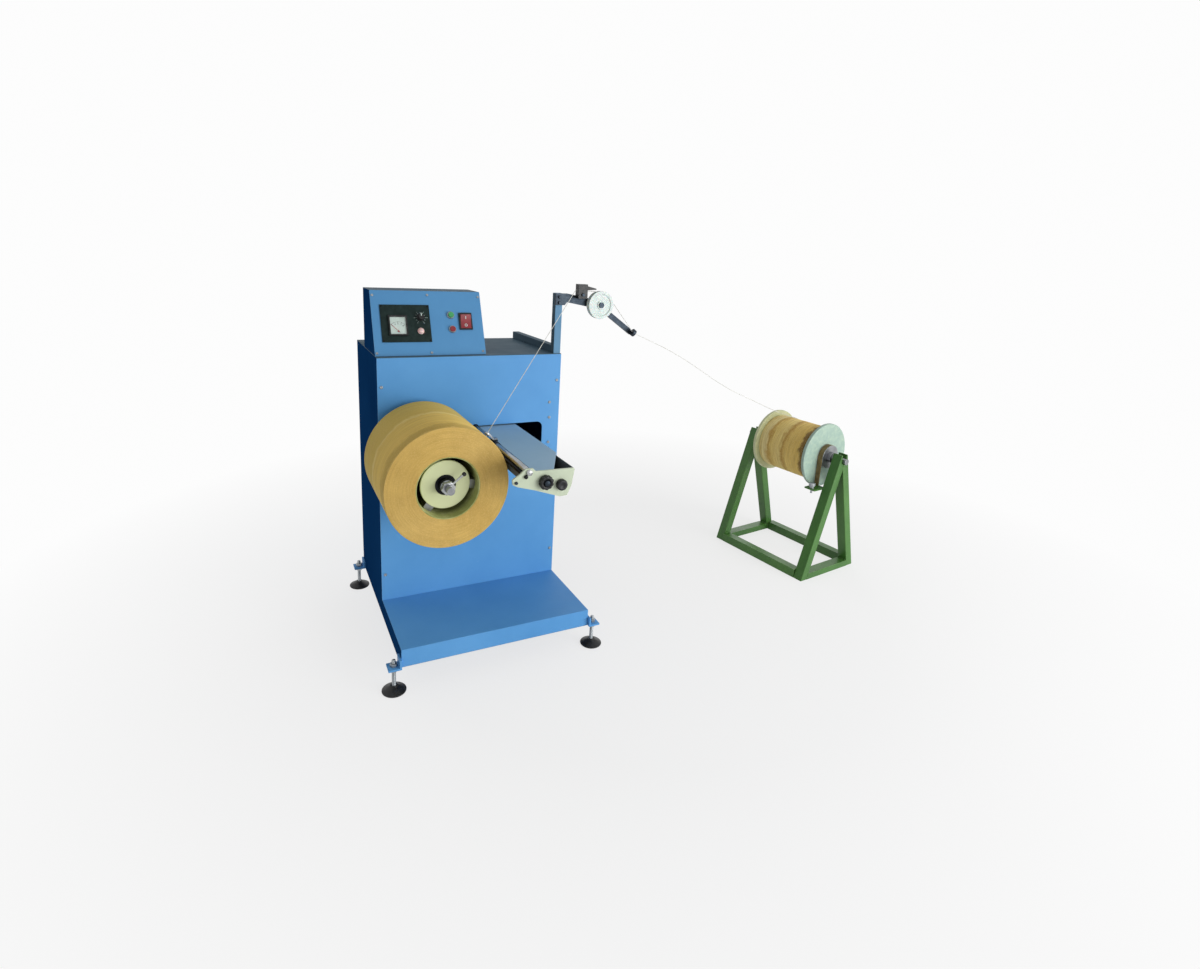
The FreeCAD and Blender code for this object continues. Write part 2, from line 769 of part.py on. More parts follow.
def wire_coil():
    soft = 4.0
    bore = core_outer + 1.5 * seat_gap
    profile = [(bore, coil_front + 1), (bore + soft, coil_front), (coil_radius - soft, coil_front),
               (coil_radius, coil_front + soft), (coil_radius, coil_rear - soft),
               (coil_radius - soft, coil_rear), (bore, coil_rear)]
    return turned(profile, V(spindle_x, 0, spindle_z), Y_AXIS)


def rear_flange():
    """Face plate behind the coil, with a hub screwed to the shaft."""
    rear = coil_rear + flange_thickness
    bore = spindle_radius + seat_gap
    profile = [(bore, coil_rear), (flange_radius, coil_rear), (flange_radius, rear - 2),
               (flange_radius - 2, rear), (32, rear), (32, rear + 10), (bore, rear + 10)]
    plate = turned(profile, V(spindle_x, 0, spindle_z), Y_AXIS)
    for angle in range(0, 360, 60):
        x = spindle_x + 120 * math.cos(math.radians(angle + 30))
        z = spindle_z + 120 * math.sin(math.radians(angle + 30))
        plate = plate.cut(rod_y(x, z, coil_rear - 1, rear + 1, 14))
    return plate


def clamp_disc():
    front = drum_front - disc_thickness
    profile = [(collar_radius + 3, front), (disc_radius - 1.5, front), (disc_radius, front + 1.5),
               (disc_radius, drum_front), (collar_radius + 3, drum_front)]
    return turned(profile, V(spindle_x, 0, spindle_z), Y_AXIS)


def lock_collar():
    """Dark collar that bears on the drum through the disc's hole."""
    front = drum_front - collar_length
    rear = drum_front - disc_thickness
    bore = nose_radius + seat_gap
    profile = [(bore, front), (collar_radius - 2, front), (collar_radius, front + 2),
               (collar_radius, rear - 2),
               (collar_radius + 8, rear - 2), (collar_radius + 8, rear), (bore, rear)]
    return turned(profile, V(spindle_x, 0, spindle_z), Y_AXIS)


def spindle_nut():
    """Clamping nut with a lever standing out of one flat."""
    rear = drum_front - collar_length
    nut = hexagon(V(spindle_x, rear - nut_length, spindle_z), Y_AXIS, nut_across, nut_length)
    washer = rod_y(spindle_x, spindle_z, rear - 3, rear, nut_across / 2 + 2)
    out = V(math.cos(math.radians(lever_angle)), 0, math.sin(math.radians(lever_angle)))
    middle = V(spindle_x, rear - nut_length / 2 - 1, spindle_z)
    lever = rod(middle + out * 12, out, lever_radius, lever_length)
    tip = Part.makeSphere(lever_radius + 2, middle + out * (12 + lever_length))
    bore = rod_y(spindle_x, spindle_z, rear - nut_length - 1, rear + 1, nose_radius + seat_gap)
    return join([nut, washer, lever, tip]).cut(bore)


# ================================================================ drive inside the cabinet
beam_top = spindle_z - bearing_height


def bearing_beam(y0):
    bar = box(panel_sheet, base_width - panel_sheet, y0, y0 + beam_width, beam_top - beam_height, beam_top)
    hollow = box(0, base_width, y0 + beam_wall, y0 + beam_width - beam_wall,
                 beam_top - beam_height - 1, beam_top - beam_wall)
    return bar.cut(hollow)


def pillow_block(y0):
    middle = y0 + (beam_width - bearing_length) / 2
    half = bearing_base / 2
    foot = box(spindle_x - half, spindle_x + half, middle, middle + bearing_length, beam_top,
               beam_top + bearing_foot)
    neck = prism_y([(spindle_x - bearing_body - 6, beam_top + bearing_foot - 1),
                    (spindle_x + bearing_body + 6, beam_top + bearing_foot - 1),
                    (spindle_x + bearing_body - 2, spindle_z), (spindle_x - bearing_body + 2, spindle_z)],
                   middle + 3, middle + bearing_length - 3)
    body = rod_y(spindle_x, spindle_z, middle + 1, middle + bearing_length - 1, bearing_body)
    bore = rod_y(spindle_x, spindle_z, middle - 1, middle + bearing_length + 1, spindle_radius + running_gap)
    block = join([foot, neck, body]).cut(bore)
    for side in (-1, 1):
        x = spindle_x + side * (half - 16)
        block = block.cut(rod(V(x, middle + bearing_length / 2, beam_top - 1), Z_AXIS, 6, bearing_foot + 2))
    return block


def spindle_bearings():
    return group([pillow_block(front_beam_y), pillow_block(rear_beam_y)])


def vee_pulley(x, z, radius, bore, hub):
    """Vee pulley with one groove; a large one has a thin web between rim and hub."""
    half = pulley_width / 2
    top = belt_top_width / 2 + moving_gap + 0.4
    floor = top - groove_depth * math.tan(math.radians(groove_half_angle))
    rim = radius - groove_depth - 8
    profile = [(bore, -half), (hub, -half), (hub, -4), (rim, -4), (rim, -half), (radius, -half),
               (radius, -top),
               (radius - groove_depth, -floor), (radius - groove_depth, floor), (radius, top), (radius, half),
               (rim, half), (rim, 4), (hub, 4), (hub, half), (bore, half)]
    if rim - hub < 6:
        profile = [(bore, -half), (radius, -half), (radius, -top), (radius - groove_depth, -floor),
                   (radius - groove_depth, floor), (radius, top), (radius, half), (bore, half)]
    return turned(profile, V(x, belt_plane, z), Y_AXIS)


def spindle_pulley():
    return vee_pulley(spindle_x, spindle_z, big_pulley_radius, spindle_radius + seat_gap, spindle_radius + 16)


def motor_pulley():
    bore = motor_shaft_radius + seat_gap
    return vee_pulley(motor_x, motor_z, small_pulley_radius, bore, motor_shaft_radius + 14)


def belt_loop(x1, z1, r1, x2, z2, r2, section):
    """Closed belt round two pulleys; section holds (distance from the pulley's radius, y) points."""
    along = V(x2 - x1, 0, z2 - z1)
    gap = along.Length
    tilt = math.atan2(along.z, along.x)
    lean = math.acos((r1 - r2) / gap)
    pieces = []
    for sign in (1, -1):
        angle = tilt + sign * lean
        out = V(math.cos(angle), 0, math.sin(angle))
        start = V(x1, 0, z1)
        points = [start + out * (r1 + d) + Y_AXIS * y for d, y in section]
        face = Part.Face(Part.makePolygon(points + points[:1]))
        run = V(x2, 0, z2) + out * r2 - (start + out * r1)
        pieces.append(face.extrude(run))
    turn = math.degrees(lean)
    for x, z, r, first, sweep in ((x1, z1, r1, tilt + lean, 360 - 2 * turn),
                                  (x2, z2, r2, tilt - lean, 2 * turn)):
        out = V(math.cos(first), 0, math.sin(first))
        points = [V(x, 0, z) + out * (r + d) + Y_AXIS * y for d, y in section]
        face = Part.Face(Part.makePolygon(points + points[:1]))
        pieces.append(face.revolve(V(x, 0, z), V(0, -1, 0), sweep))
    return join(pieces)


def drive_belt():
    """Vee belt, seated in both grooves with a small gap to their flanks."""
    half = belt_top_width / 2
    low = half - belt_height * math.tan(math.radians(groove_half_angle))
    section = [(-belt_height - 1, belt_plane - low), (-1, belt_plane - half),
               (-1, belt_plane + half), (-belt_height - 1, belt_plane + low)]
    return belt_loop(spindle_x, spindle_z, big_pulley_radius, motor_x, motor_z, small_pulley_radius, section)


def motor():
    y0 = motor_front
    y1 = motor_front + motor_length
    foot_bottom = base_top
    body = turned([(0, y0), (motor_radius - 14, y0), (motor_radius - 4, y0 + 8), (motor_radius, y0 + 14),
                   (motor_radius, y1 - 34), (motor_radius - 3, y1 - 32), (motor_radius - 3, y1 - 6),
                   (motor_radius - 9, y1), (0, y1)], V(motor_x, 0, motor_z), Y_AXIS)
    legs = [box(motor_x - 60, motor_x + 60, y0 + 24, y1 - 44, foot_bottom, foot_bottom + 12),
            box(motor_x - 40, motor_x + 40, y0 + 24, y1 - 44, foot_bottom + 12, motor_z - motor_radius + 14),
            box(motor_x - 34, motor_x + 34, y0 + 30, y0 + 100, motor_z + motor_radius - 8,
                motor_z + motor_radius + 32)]
    shell = join([body] + legs)
    return shell.cut(rod_y(motor_x, motor_z, y0 - 1, y0 + 71, motor_shaft_radius + running_gap))


def motor_shaft():
    return rod_y(motor_x, motor_z, belt_plane - pulley_width / 2 - 4, motor_front + 70, motor_shaft_radius)


def toothed_pulley(x, z, shaft):
    bore = shaft + seat_gap
    half = toothed_width / 2
    rim = toothed_radius
    profile = [(bore, -half), (rim + 3, -half), (rim + 3, 1.2 - half), (rim, 1.6 - half), (rim, half - 1.6),
               (rim + 3, half - 1.2), (rim + 3, half), (bore, half)]
    return turned(profile, V(x, toothed_plane, z), Y_AXIS)


def toothed_belt():
    half = toothed_belt_width / 2
    low = moving_gap
    high = toothed_belt_thickness
    section = [(low, toothed_plane - half), (high, toothed_plane - half), (high, toothed_plane + half),
               (low, toothed_plane + half)]
    return belt_loop(spindle_x, spindle_z, toothed_radius, screw_x, screw_z, toothed_radius, section)


# ================================================================ traverse
front_face = traverse_front - end_plate_thickness
stop_rod_length = 120.0
inner_bar_front = traverse_front - end_plate_thickness / 2


def traverse_channel():
    """Folded channel: low left lip, floor sloping down to a level part, and tall right wall."""
    outline = [(channel_left, channel_left_top), (channel_left, channel_slope_top),
               (channel_flat_left, channel_bottom), (channel_flat_right, channel_bottom),
               (channel_knee_x, channel_knee_z), (channel_right, cover_top - cover_sheet - channel_lip),
               (channel_right, cover_top - cover_sheet)]
    return prism_y(folded(outline, channel_sheet), traverse_front, traverse_rear)


def traverse_cover():
    """Cover sheet with a turned-down left lip and a slanted front right corner."""
    low = cover_top - cover_sheet
    sheet = prism_z([(cover_left, traverse_front), (cover_right - cover_cut_across, traverse_front),
                     (cover_right, traverse_front + cover_cut_back), (cover_right, cover_rear),
                     (cover_left, cover_rear)], low, cover_top)
    left_lip = box(cover_left, cover_left + cover_sheet, traverse_front, cover_rear, low - cover_lip, low)
    right_lip = box(cover_right - cover_sheet, cover_right, traverse_front + cover_cut_back, cover_rear,
                    low - cover_lip, low)
    return join([sheet, left_lip, right_lip])


channel_slope = (channel_slope_top - channel_bottom) / (channel_flat_left - channel_left)


def channel_floor(x):
    """Height of the sloping floor's underside."""
    return channel_slope_top - channel_slope * (x - channel_left)


def end_plate_outline():
    """Front end plate in x and z: a nose on the left, a lobe round the front bar, and a slanted foot."""
    lobe = front_bar_z + front_bar_radius + 2.5
    return [(258, 672), (260, 658), (274, 651), (322, 637), (396, 611), (418, 612), (430, 640),
            (438, cover_top - 2),
            (front_bar_x + 19, cover_top), (front_bar_x + 11, lobe), (front_bar_x - 10, lobe), (280, 686)]


through = ((screw_x, screw_z, journal_radius), (front_bar_x, front_bar_z, front_bar_radius),
           (trip_rod_x, trip_rod_z, trip_rod_radius), (inner_bar_x, inner_bar_z, inner_bar_radius))


def plate_holes(plate, y0, y1, holes):
    for x, z, radius in holes:
        gap = running_gap if radius == journal_radius else seat_gap
        plate = plate.cut(rod_y(x, z, y0 - 1, y1 + 1, radius + gap))
    return plate


def traverse_end_plate():
    plate = prism_y(end_plate_outline(), front_face, traverse_front)
    upright = [e for e in plate.Edges if abs(e.tangentAt(e.FirstParameter).dot(Y_AXIS)) > 0.99]
    plate = plate.makeFillet(plate_corner, upright)
    plate = plate.cut(rod_y(width_knob_x, width_knob_z, front_face - 1, traverse_front + 1, 5 + running_gap))
    plate = plate.cut(rod_y(inner_bar_x, inner_bar_z, inner_bar_front - seat_gap, traverse_front + 1,
                            inner_bar_radius + seat_gap))
    plate = plate.cut(rod_y(nose_bolt_x, nose_bolt_z, front_face - 1, traverse_front + 1,
                            nose_bolt_radius + seat_gap))
    return plate_holes(plate, front_face, traverse_front, through[:3])


def traverse_rear_plate():
    y0 = traverse_rear
    plate = box(trip_rod_x - 12, channel_right, y0, y0 + end_plate_thickness, channel_bottom,
                front_bar_z + front_bar_radius + 6)
    return plate_holes(plate, y0, y0 + end_plate_thickness, through)


def traverse_saddle():
    """Block between the front bearing beam and the traverse channel."""
    left = channel_left + 40
    outline = [(left, beam_top), (channel_flat_right - 2, beam_top), (channel_flat_right - 2, channel_bottom),
               (channel_flat_left, channel_bottom), (left, channel_floor(left))]
    return prism_y(outline, front_beam_y + 4, front_beam_y + beam_width - 8)


def guide_bars():
    """Two bars that carry the carriage, and the thin trip rod beside them."""
    y0 = front_face - bar_reach
    y1 = traverse_rear + end_plate_thickness
    return group([rod_y(front_bar_x, front_bar_z, y0, y1, front_bar_radius),
                  rod_y(inner_bar_x, inner_bar_z, inner_bar_front, y1, inner_bar_radius),
                  rod_y(trip_rod_x, trip_rod_z, y0, y1, trip_rod_radius)])


def traverse_screw():
    """Cross-threaded screw: full thread between the end plates, journals beyond them."""
    body = rod_y(screw_x, screw_z, traverse_front + moving_gap, traverse_rear - moving_gap, screw_radius)
    ends = rod_y(screw_x, screw_z, front_face - hand_knob_length - 3, toothed_plane + toothed_width / 2 + 4,
                 journal_radius)
    return join([body, ends])


def screw_hand_knob():
    y0 = front_face - moving_gap
    journal = journal_radius + seat_gap
    profile = [(journal, y0), (hand_knob_radius, y0), (hand_knob_radius, y0 - hand_knob_length + 3),
               (hand_knob_radius - 3, y0 - hand_knob_length), (journal + 3, y0 - hand_knob_length),
               (journal + 3, y0 - hand_knob_length + 3), (journal, y0 - hand_knob_length + 3)]
    return turned(profile, V(screw_x, 0, screw_z), Y_AXIS)


def width_knob():
    """Knob on the threaded rod that sets how wide the carriage travels."""
    y0 = front_face - moving_gap
    profile = [(0, y0 - width_knob_length), (width_knob_radius - 3, y0 - width_knob_length),
               (width_knob_radius, y0 - width_knob_length + 3), (width_knob_radius, y0), (5, y0),
               (5, y0 + stop_rod_length), (0, y0 + stop_rod_length)]
    return turned(profile, V(width_knob_x, 0, width_knob_z), Y_AXIS)


def traverse_carriage():
    y0 = carriage_y - carriage_half
    y1 = carriage_y + carriage_half
    slope_low = channel_floor(carriage_left) + channel_sheet + carriage_floor_gap
    slope_end = carriage_left + (slope_low - carriage_bottom) / channel_slope
    block = prism_y([(carriage_left, carriage_top), (carriage_right, carriage_top),
                     (carriage_right, channel_knee_z + 2), (channel_flat_right - 6, carriage_bottom),
                     (slope_end, carriage_bottom), (carriage_left, slope_low)], y0, y1)
    sleeve_radius = front_bar_radius + sleeve_wall
    sleeve = rod_y(front_bar_x, front_bar_z, y0, y1, sleeve_radius)
    boss = box(front_bar_x - 7, front_bar_x + 7, carriage_y - 10, carriage_y + 10, front_bar_z + 6,
               front_bar_z + sleeve_radius + 3)
    bridge = box(front_bar_x + 3, carriage_left, y0, y1, front_bar_z - sleeve_radius - 5, front_bar_z - 6)
    bridge = bridge.cut(box(cover_left - 1, cover_left + cover_sheet + 1, y0 - 1, y1 + 1,
                            cover_top - cover_sheet - cover_lip - 1, cover_top))
    carriage = join([block, bridge, sleeve, boss])
    bores = [rod_y(front_bar_x, front_bar_z, y0 - 1, y1 + 1, front_bar_radius + sliding_gap),
             rod_y(inner_bar_x, inner_bar_z, y0 - 1, y1 + 1, inner_bar_radius + sliding_gap),
             rod_y(screw_x, screw_z, y0 - 1, y1 + 1, screw_radius + sliding_gap),
             rod_y(trip_rod_x, trip_rod_z, y0 - 1, y1 + 1, trip_rod_radius + moving_gap)]
    slot = box(width_knob_x - 7, width_knob_x + 7, y0 - 1, y1 + 1, width_knob_z - 7, carriage_top + 1)
    for bore in bores + [slot]:
        carriage = carriage.cut(bore)
    return carriage


# ================================================================ wire guides and wire
pulley_x = mast_right + pulley_from_mast
pulley_z = mast_top - pulley_drop
ring_centre = V(pulley_x + ring_from_pulley, wire_plane, pulley_z - ring_drop)
block_left = mast_right + block_from_mast
block_right = block_left + block_length
block_bottom = mast_top - block_drop
block_top = block_bottom + block_height
block_hole_z = block_bottom + block_hole_height
block_exit = V(block_left - 5, wire_plane, block_hole_z + 1.3)
wire_in = (eyelet - block_exit).normalize()


def wire_arm():
    """Bent strip from the carriage up to the eyelet, ending in a round boss."""
    foot = front_bar_z + front_bar_radius + sleeve_wall + 3
    outline = [(front_bar_x + 7, foot), (front_bar_x + 7, foot + arm_strip),
               (front_bar_x - 3, foot + arm_strip),
               (eyelet.x + 6, eyelet.z + 2), (eyelet.x + 1, eyelet.z - 1), (front_bar_x - 7, foot)]
    strip = prism_y(outline, carriage_y - arm_half_width, carriage_y + arm_half_width)
    boss = rod(eyelet - wire_in * eyelet_length / 2, wire_in, eyelet_radius + 2.5, eyelet_length)
    seat = rod(eyelet - wire_in * 10, wire_in, eyelet_radius + seat_gap, 20)
    return join([strip, boss]).cut(seat)


def wire_eyelet():
    ring = rod(eyelet - wire_in * eyelet_length / 2, wire_in, eyelet_radius, eyelet_length)
    return ring.cut(rod(eyelet - wire_in * 10, wire_in, eyelet_bore, 20))


def guide_arm():
    """Flat bar from the mast's top to the guide pulley's axle."""
    half = arm_height / 2
    left = mast_right - mast_size - 2
    right = mast_right + 14
    top = mast_top
    slope = (pulley_z + half - top) / (pulley_x - right)
    lean = math.atan(slope)
    outline = [(left, top - arm_height - 10), (left, top), (right, top),
               (pulley_x, pulley_z + half / math.cos(lean)), (pulley_x, pulley_z - half / math.cos(lean)),
               (right, top - arm_height / math.cos(lean)), (right - 8, top - arm_height - 10)]
    plate = prism_y(outline, arm_front, arm_front + arm_thickness)
    nose = rod_y(pulley_x, pulley_z, arm_front, arm_front + arm_thickness, half)
    return join([plate, nose]).cut(rod_y(pulley_x, pulley_z, arm_front - 1, arm_front + arm_thickness + 1,
                                         axle_radius))


def arm_bolts():
    """Bolts of the guide arm and its block, and the one in the traverse end plate's nose."""
    bolts = []
    x = mast_right - mast_size / 2
    for z in (mast_top - 12, mast_top - arm_height - 2):
        bolts.append(hexagon(V(x, arm_front, z), V(0, -1, 0), 10, 5))
    x = (block_left + block_right) / 2
    bolts.append(hexagon(V(x, wire_plane - block_half, block_bottom + 12), V(0, -1, 0), 10, 5))
    shank = rod_y(nose_bolt_x, nose_bolt_z, front_face, traverse_front + 3, nose_bolt_radius)
    bolts.append(join([hexagon(V(nose_bolt_x, front_face, nose_bolt_z), V(0, -1, 0), 8, 4), shank]))
    return bolts


def guide_block():
    """Felt-lined block through which the wire is drawn, with a finger over the pulley."""
    y0 = wire_plane - block_half
    y1 = arm_front
    body = box(block_left, block_right, y0, y1, block_bottom, block_top)
    finger = prism_y([(block_right - 1, block_top - 5), (block_right + 34, block_top - 13),
                      (block_right + 34, block_top - 17), (block_right - 1, block_top - 19)],
                     y0 + 4, y1 - 4)
    block = join([body, finger])
    hole = rod(V(block_left - 1, wire_plane, block_hole_z), X_AXIS, block_hole_radius + 0.5,
               block_right - block_left + 2)
    return block.cut(hole)


def guide_pulley():
    half = guide_pulley_half
    floor = guide_groove_radius
    profile = [(axle_radius + running_gap, -half), (14, -half), (14, -half + 3), (floor - 6, -half + 3),
               (floor - 4, -half),
               (guide_pulley_radius, -half), (guide_pulley_radius, -half + 3), (floor + 0.4, -1.4),
               (floor, 0), (floor + 0.4, 1.4), (guide_pulley_radius, half - 3), (guide_pulley_radius, half),
               (floor - 4, half), (floor - 6, half - 3), (14, half - 3), (14, half),
               (axle_radius + running_gap, half)]
    return turned(profile, V(pulley_x, wire_plane, pulley_z), Y_AXIS)


def pulley_axle():
    """Shouldered bolt that holds the pulley, the arm and the guide rod together."""
    front = wire_plane - guide_pulley_half - moving_gap
    rear = arm_front + arm_thickness + rod_thickness
    head = hexagon(V(pulley_x, front - 4, pulley_z), Y_AXIS, 17, 4)
    stem = rod_y(pulley_x, pulley_z, front, rear + 8, axle_radius)
    nut = hexagon(V(pulley_x, rear, pulley_z), Y_AXIS, 17, 7)
    return join([head, stem, nut])


def guide_rod():
    """Flat bar from the pulley's axle out to the wire ring, behind the arm."""
    y0 = arm_front + arm_thickness
    y1 = y0 + rod_thickness
    start = V(pulley_x, 0, pulley_z)
    end = V(ring_centre.x, 0, ring_centre.z)
    along = V(end - start).normalize()
    side = V(-along.z, 0, along.x) * (rod_height / 2)
    corners = [start + side, end + side, end - side, start - side]
    bar = prism_y([(p.x, p.z) for p in corners], y0, y1)
    ends = [rod_y(p.x, p.z, y0, y1, rod_height / 2) for p in (start, end)]
    hole = rod_y(pulley_x, pulley_z, y0 - 1, y1 + 1, axle_radius)
    return join([bar] + ends).cut(hole)


def wire_ring():
    """Ring at the end of the guide rod, with a short stem back to the rod."""
    along = V(V(pulley_x, 0, pulley_z) - V(ring_centre.x, 0, ring_centre.z)).normalize()
    ring = rod(ring_centre - along * ring_length / 2, along, ring_radius, ring_length)
    stem = rod_y(ring_centre.x, ring_centre.z, wire_plane + ring_bore + 2, arm_front + arm_thickness, 4)
    bore = rod(ring_centre - along * 20, along, ring_bore, 40)
    return join([ring, stem]).cut(bore)


# The supply wire, from the spool to the guide eyelet, corner by corner. The long span lies in
# an upright plane between the spool and the ring.
span_slope = 0.1081         # how fast the plane runs back as it runs right


def span_point(x, z):
    return V(x, ring_centre.y + span_slope * (x - ring_centre.x), z)


feed_points = [span_point(1835.9, 569.2), span_point(1813.2, 593.0), span_point(1750, 611.2),
               span_point(1698, 627.2), span_point(1646, 645.0), span_point(1594, 664.6),
               span_point(1542, 685.8), span_point(1490, 706.6), span_point(1438, 726.8),
               span_point(1386, 747.8), span_point(1334, 771.4), span_point(1282, 797.8),
               span_point(1230, 826.0), span_point(1178, 854.6), span_point(1126, 882.0),
               span_point(1074, 907.6), span_point(1022, 931.0), span_point(970, 952.2),
               span_point(918, 972.4), ring_centre, V(749.1, -14, 1128.1), block_exit]
feed_bends = {1: winding_radius + wire_radius + wire_lay_gap, 19: 12.0,
              20: guide_groove_radius + wire_radius + wire_lay_gap, 21: 10.0}
feed_end = 13.2
tail_start = 12.0
tail_corner = 13.0
tail_end = V(280.3, -191.3, 695.9)


def supply_wire():
    points = feed_points + [eyelet - wire_in * feed_end]
    return bent_tube("supply_wire", points, wire_radius, feed_bends)


def coil_wire():
    points = [eyelet - wire_in * tail_start, eyelet + wire_in * tail_corner, tail_end]
    return bent_tube("coil_wire", points, wire_radius, {1: 10.0})


# ================================================================ pay-off stand
stand_x = mast_right + stand_from_mast
stand_placement = FreeCAD.Placement(V(stand_x, stand_y, 0), FreeCAD.Rotation(Z_AXIS, stand_turn))


def on_stand(shape):
    """Moves a piece drawn square to the spool shaft into the stand's place."""
    moved = shape.copy()
    moved.Placement = stand_placement.multiply(moved.Placement)
    return moved


def leg(side, y0, width=leg_width, y_in=0.0):
    """One slanted leg; side is -1 or 1. It is mitred against the other leg at the top."""
    foot = side * (stand_width / 2 - leg_width / 2)
    lean = math.atan2(abs(foot), stand_height)
    half = width / 2 / math.cos(lean)
    drop = 30
    slope = foot / stand_height
    outline = [(foot + slope * drop - half, -drop), (foot + slope * drop + half, -drop),
               (-slope * 60 + half, stand_height + 60), (-slope * 60 - half, stand_height + 60)]
    solid = prism_y(outline, y0 + y_in, y0 + leg_depth - y_in)
    inner = 0 if side > 0 else -400
    return solid.common(box(inner, inner + 400, y0 - 1, y0 + leg_depth + 1, 0, stand_height))


def a_frame_legs(y0):
    legs = []
    slot = rod_y(0, shaft_height, y0 - 1, y0 + leg_depth + 1, shaft_radius + running_gap * 2)
    slot = slot.fuse(box(-shaft_radius - running_gap * 2, shaft_radius + running_gap * 2, y0 - 1,
                         y0 + leg_depth + 1, shaft_height, stand_height + 1))
    for side in (-1, 1):
        outer = leg(side, y0)
        hollow = leg(side, y0, leg_width - 2 * leg_wall, leg_wall)
        hollow = hollow.common(box(-400, 400, y0, y0 + leg_depth, leg_wall, shaft_height - 60))
        legs.append(outer.cut(hollow).cut(slot))
    return [on_stand(one) for one in legs]


near_legs_y = -stand_length / 2
far_legs_y = stand_length / 2 - leg_depth


def stand_rails():
    """Low cross bars between the legs of each frame, and side rails between the frames."""
    foot = stand_width / 2 - leg_width / 2
    half = leg_width / 2 / math.cos(math.atan2(foot, stand_height))
    low = foot - half
    high = foot * (1 - cross_bar_height / stand_height) - half
    bars = []
    for y0 in (near_legs_y, far_legs_y):
        bars.append(prism_y([(-low, 0), (low, 0), (high, cross_bar_height), (-high, cross_bar_height)],
                            y0, y0 + leg_depth))
    for side in (-1, 1):
        outer = side * stand_width / 2
        inner = outer - side * leg_width
        x0 = min(outer, inner)
        bar = box(x0, x0 + leg_width, near_legs_y + leg_depth, far_legs_y, 0, side_rail_height)
        hollow = box(x0 + leg_wall, x0 + leg_width - leg_wall, near_legs_y, far_legs_y + leg_depth,
                     leg_wall, side_rail_height - leg_wall)
        bars.append(bar.cut(hollow))
    return [on_stand(bar) for bar in bars]


def spool_shaft():
    return on_stand(rod_y(0, shaft_height, near_legs_y - shaft_overhang,
                          far_legs_y + leg_depth + shaft_overhang,
                          shaft_radius))


spool_near = spool_offset - spool_half
spool_far = spool_offset + spool_half


def supply_spool():
    bore = shaft_radius + seat_gap
    flange = spool_flange_radius
    t = spool_flange_thickness
    profile = [(bore, spool_near), (flange - 2, spool_near), (flange, spool_near + 2),
               (flange, spool_near + t - 2),
               (flange - 2, spool_near + t), (spool_barrel_radius, spool_near + t),
               (spool_barrel_radius, spool_far - t), (flange - 2, spool_far - t), (flange, spool_far - t + 2),
               (flange, spool_far - 2), (flange - 2, spool_far), (bore, spool_far)]
    return on_stand(turned(profile, V(0, 0, shaft_height), Y_AXIS))


def supply_winding():
    t = spool_flange_thickness + winding_gap
    barrel = spool_barrel_radius + seat_gap
    profile = [(barrel, spool_near + t), (winding_radius - 6, spool_near + t),
               (winding_radius, spool_near + t + 20), (winding_radius, spool_far - t - 12),
               (winding_radius - 4, spool_far - t), (barrel, spool_far - t)]
    return on_stand(turned(profile, V(0, 0, shaft_height), Y_AXIS))


def stop_collars():
    collars = []
    for y0 in (spool_far, spool_near - brake_drum_length - stop_collar_length):
        collars.append(tube_y(0, shaft_height, y0, y0 + stop_collar_length, stop_collar_radius,
                              shaft_radius + seat_gap))
    return [on_stand(one) for one in collars]


def brake_drum():
    y0 = spool_near - brake_drum_length
    bore = shaft_radius + seat_gap
    profile = [(bore, y0), (brake_drum_radius + 3, y0), (brake_drum_radius + 3, y0 + 2),
               (brake_drum_radius, y0 + 2.5), (brake_drum_radius, spool_near - 2.5),
               (brake_drum_radius + 3, spool_near - 2), (brake_drum_radius + 3, spool_near),
               (bore, spool_near)]
    return on_stand(turned(profile, V(0, 0, shaft_height), Y_AXIS))


brake_band_y0 = spool_near - brake_drum_length / 2 - brake_band_width / 2
brake_low = 372.0       # height of the brake band's lower end
brake_screw_x = -96.0


def brake_band():
    """Leather band over the drum, from a lug on the near left leg down to the brake screw."""
    inner = brake_drum_radius + moving_gap
    outer = inner + brake_band_thickness
    y0 = brake_band_y0
    y1 = y0 + brake_band_width
    hoop = tube_y(0, shaft_height, y0, y1, outer, inner)
    hoop = hoop.common(box(-outer - 1, outer + 1, y0, y1, shaft_height, shaft_height + outer + 1))
    left = box(-outer, -inner, y0, y1, brake_low, shaft_height)
    right = box(inner, outer, y0, y1, brake_low + 30, shaft_height)
    return on_stand(join([hoop, left, right]))


def brake_bracket():
    """Angle on the near left leg that holds the band's ends and the brake screw."""
    y1 = brake_band_y0 + brake_band_width
    y0 = near_legs_y + leg_depth
    outer = brake_drum_radius + moving_gap + brake_band_thickness
    shelf = box(brake_screw_x - 14, -outer + 8, y0, y1, brake_low - 6, brake_low)
    post = box(outer - brake_band_thickness - 4, outer + 6, y0, y1, brake_low + 24, brake_low + 30)
    hole = rod(V(brake_screw_x, (y0 + y1) / 2, brake_low - 20), Z_AXIS, 4 + running_gap, 40)
    return [on_stand(shelf.cut(hole)), on_stand(post)]


def brake_screw():
    """Bright hand screw that tightens the brake band."""
    y1 = brake_band_y0 + brake_band_width
    y0 = near_legs_y + leg_depth
    at = V(brake_screw_x, (y0 + y1) / 2, brake_low)
    profile = [(0, -22), (4, -22), (4, moving_gap), (9, moving_gap), (9, 8), (13, 9), (13, 20), (11, 22),
               (0, 22)]
    return on_stand(turned(profile, at, Z_AXIS))


